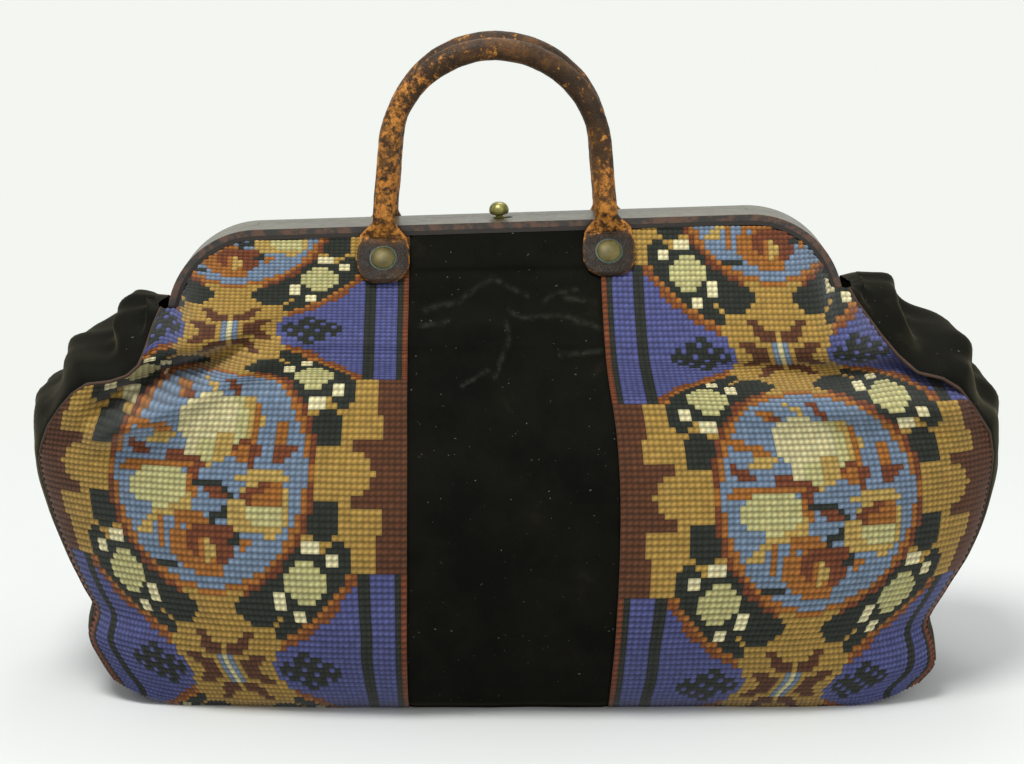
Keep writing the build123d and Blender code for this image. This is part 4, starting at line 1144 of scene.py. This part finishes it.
knob_rows = [(0.01, KNOB_HEIGHT)]
knob_rows += [(KNOB_RADIUS * sin(a) ** 0.8, KNOB_HEIGHT - 4.6 * (1 - cos(a))) for a in quarter_turn()]
knob_rows += [(KNOB_RADIUS - 0.05, 3.2), (KNOB_RADIUS - 0.5, 2.3), (KNOB_RADIUS - 1.5, 1.8), (2.6, 1.6), (2.0, 1.3),
              (2.0, 0.6), (3.2, 0.5), (3.2, 0.15), (2.0, 0.1), (2.0, -3.6), (0.01, -3.6)]
knob = lathe("clasp_knob_turned", knob_rows, PLACE @ Matrix.Translation((KNOB_X, 0, FRAME_TOP)), KNOB_SIDES)
dress(knob, brass, metres((KNOB_X, 0, FRAME_TOP + 5)))
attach(knob, "clasp")
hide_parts("clasp_knob")

# Latch spring: a bent leaf, squeezed between the sliding bolt and the front jaw
leaf = [(SPRING_X, 4.5), (SPRING_X, 3.0), (SPRING_X + 11, 0.0), (SPRING_X + 1.2, -4.0), (SPRING_X + 11, -4.0)]
leaf_points = []
for k, (x, y) in enumerate(leaf):
    ax, ay = leaf[max(k - 1, 0)]
    bx, by = leaf[min(k + 1, len(leaf) - 1)]
    across = Vector((ay - by, bx - ax, 0)).normalized() * SPRING_HALF
    for away, z in ((-1, 0.0), (1, 0.0), (1, -SPRING_HEIGHT), (-1, -SPRING_HEIGHT)):
        leaf_points.append(PLACE @ (Vector((x, y, FRAME_TOP - 2.0 + z)) + away * across))
leaf_quads = [[4 * k + m, 4 * k + (m + 1) % 4, 4 * k + 4 + (m + 1) % 4, 4 * k + 4 + m]
              for k in range(4) for m in range(4)]
spring = new_mesh("latch_spring_leaf", leaf_points, leaf_quads + [[3, 2, 1, 0], [16, 17, 18, 19]], flat=True)
dress(spring, steel, metres((SPRING_X + 5, 0, FRAME_TOP - 2.5)))
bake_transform(spring)
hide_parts("latch_spring")

for mat, names in ((enamel, "front_jaw back_jaw"), (welt_leather, "front_welt back_welt"), (board, "base_board"),
                   (steel, "hinge_pins front_stud_washers back_stud_washers latch_bolt latch_keeper")):
    for name in names.split():
        for held in nodes[name].material_slots:
            held.material = mat

# Floor, light and camera
PALE = (*linear(243, 246, 241), 1.0)
FADE_FROM, FADE_TO = 0.36, 0.75
FLOOR_HALF = 6
floor_mesh = bpy.data.meshes.new("floor")
floor_mesh.from_pydata([(x * FLOOR_HALF, y * FLOOR_HALF, 0) for x, y in ((-1, -1), (1, -1), (1, 1), (-1, 1))], [],
                       [(0, 1, 2, 3)])
floor_obj = add_object("floor", floor_mesh)
floor_mat, tree, floor_shader = new_material("floor", (0.66, 0.675, 0.655), 0.85)
far = tree.nodes.new("ShaderNodeEmission")
socket(far, "Color", PALE)
away = tree.nodes.new("ShaderNodeVectorMath")
away.operation = "LENGTH"
socket(away, 0, own_coords(tree))
fade = map_range(tree, away.outputs["Value"], FADE_FROM, FADE_TO)
fade.interpolation_type = "SMOOTHSTEP"
rays = tree.nodes.new("ShaderNodeLightPath").outputs
mix_surfaces(tree, "Material Output", calc(tree, "MULTIPLY", fade.outputs["Result"], rays["Is Camera Ray"]),
             floor_shader.outputs[0], far.outputs[0])
floor_mesh.materials.append(floor_mat)

world = bpy.data.worlds.new("studio")
world.use_nodes = True
bpy.context.scene.world = world
tree = world.node_tree
background = tree.nodes["Background"]
socket(background, "Color", (0.96, 0.98, 1.0, 1.0))
socket(background, "Strength", 0.68)
seen = tree.nodes.new("ShaderNodeBackground")
socket(seen, "Color", PALE)
rays = tree.nodes.new("ShaderNodeLightPath").outputs
glass = calc(tree, "MAXIMUM", rays["Is Glossy Ray"], rays["Is Transmission Ray"])
mix_surfaces(tree, "World Output", calc(tree, "MAXIMUM", rays["Is Camera Ray"], glass), background.outputs[0],
             seen.outputs[0])


def area_light(name, place_at, aim, size, power):
    light = bpy.data.lights.new(name, "AREA")
    light.shape = "DISK"
    light.size = size
    light.energy = power
    obj = add_object(name, light)
    obj.location = place_at
    obj.rotation_euler = (Vector(aim) - Vector(place_at)).to_track_quat("-Z", "Y").to_euler()


area_light("key", (-0.5, -0.8, 2.1), (0, 0, 0.12), 0.9, 38)
area_light("fill", (1.2, -1.3, 1.0), (0, 0, 0.15), 1.2, 8)
area_light("rim", (0.2, 1.0, 1.8), (0, 0, 0.2), 1.0, 8)

camera_data = bpy.data.cameras.new("camera")
camera_data.lens = 86.55
camera_data.sensor_width = 36.0
camera = add_object("camera", camera_data)
camera.location = (-0.0032, -1.3116, 0.4653)
camera.rotation_euler = (radians(77.0), 0, 0)
bpy.context.scene.camera = camera
bpy.context.scene.view_settings.view_transform = "Standard"
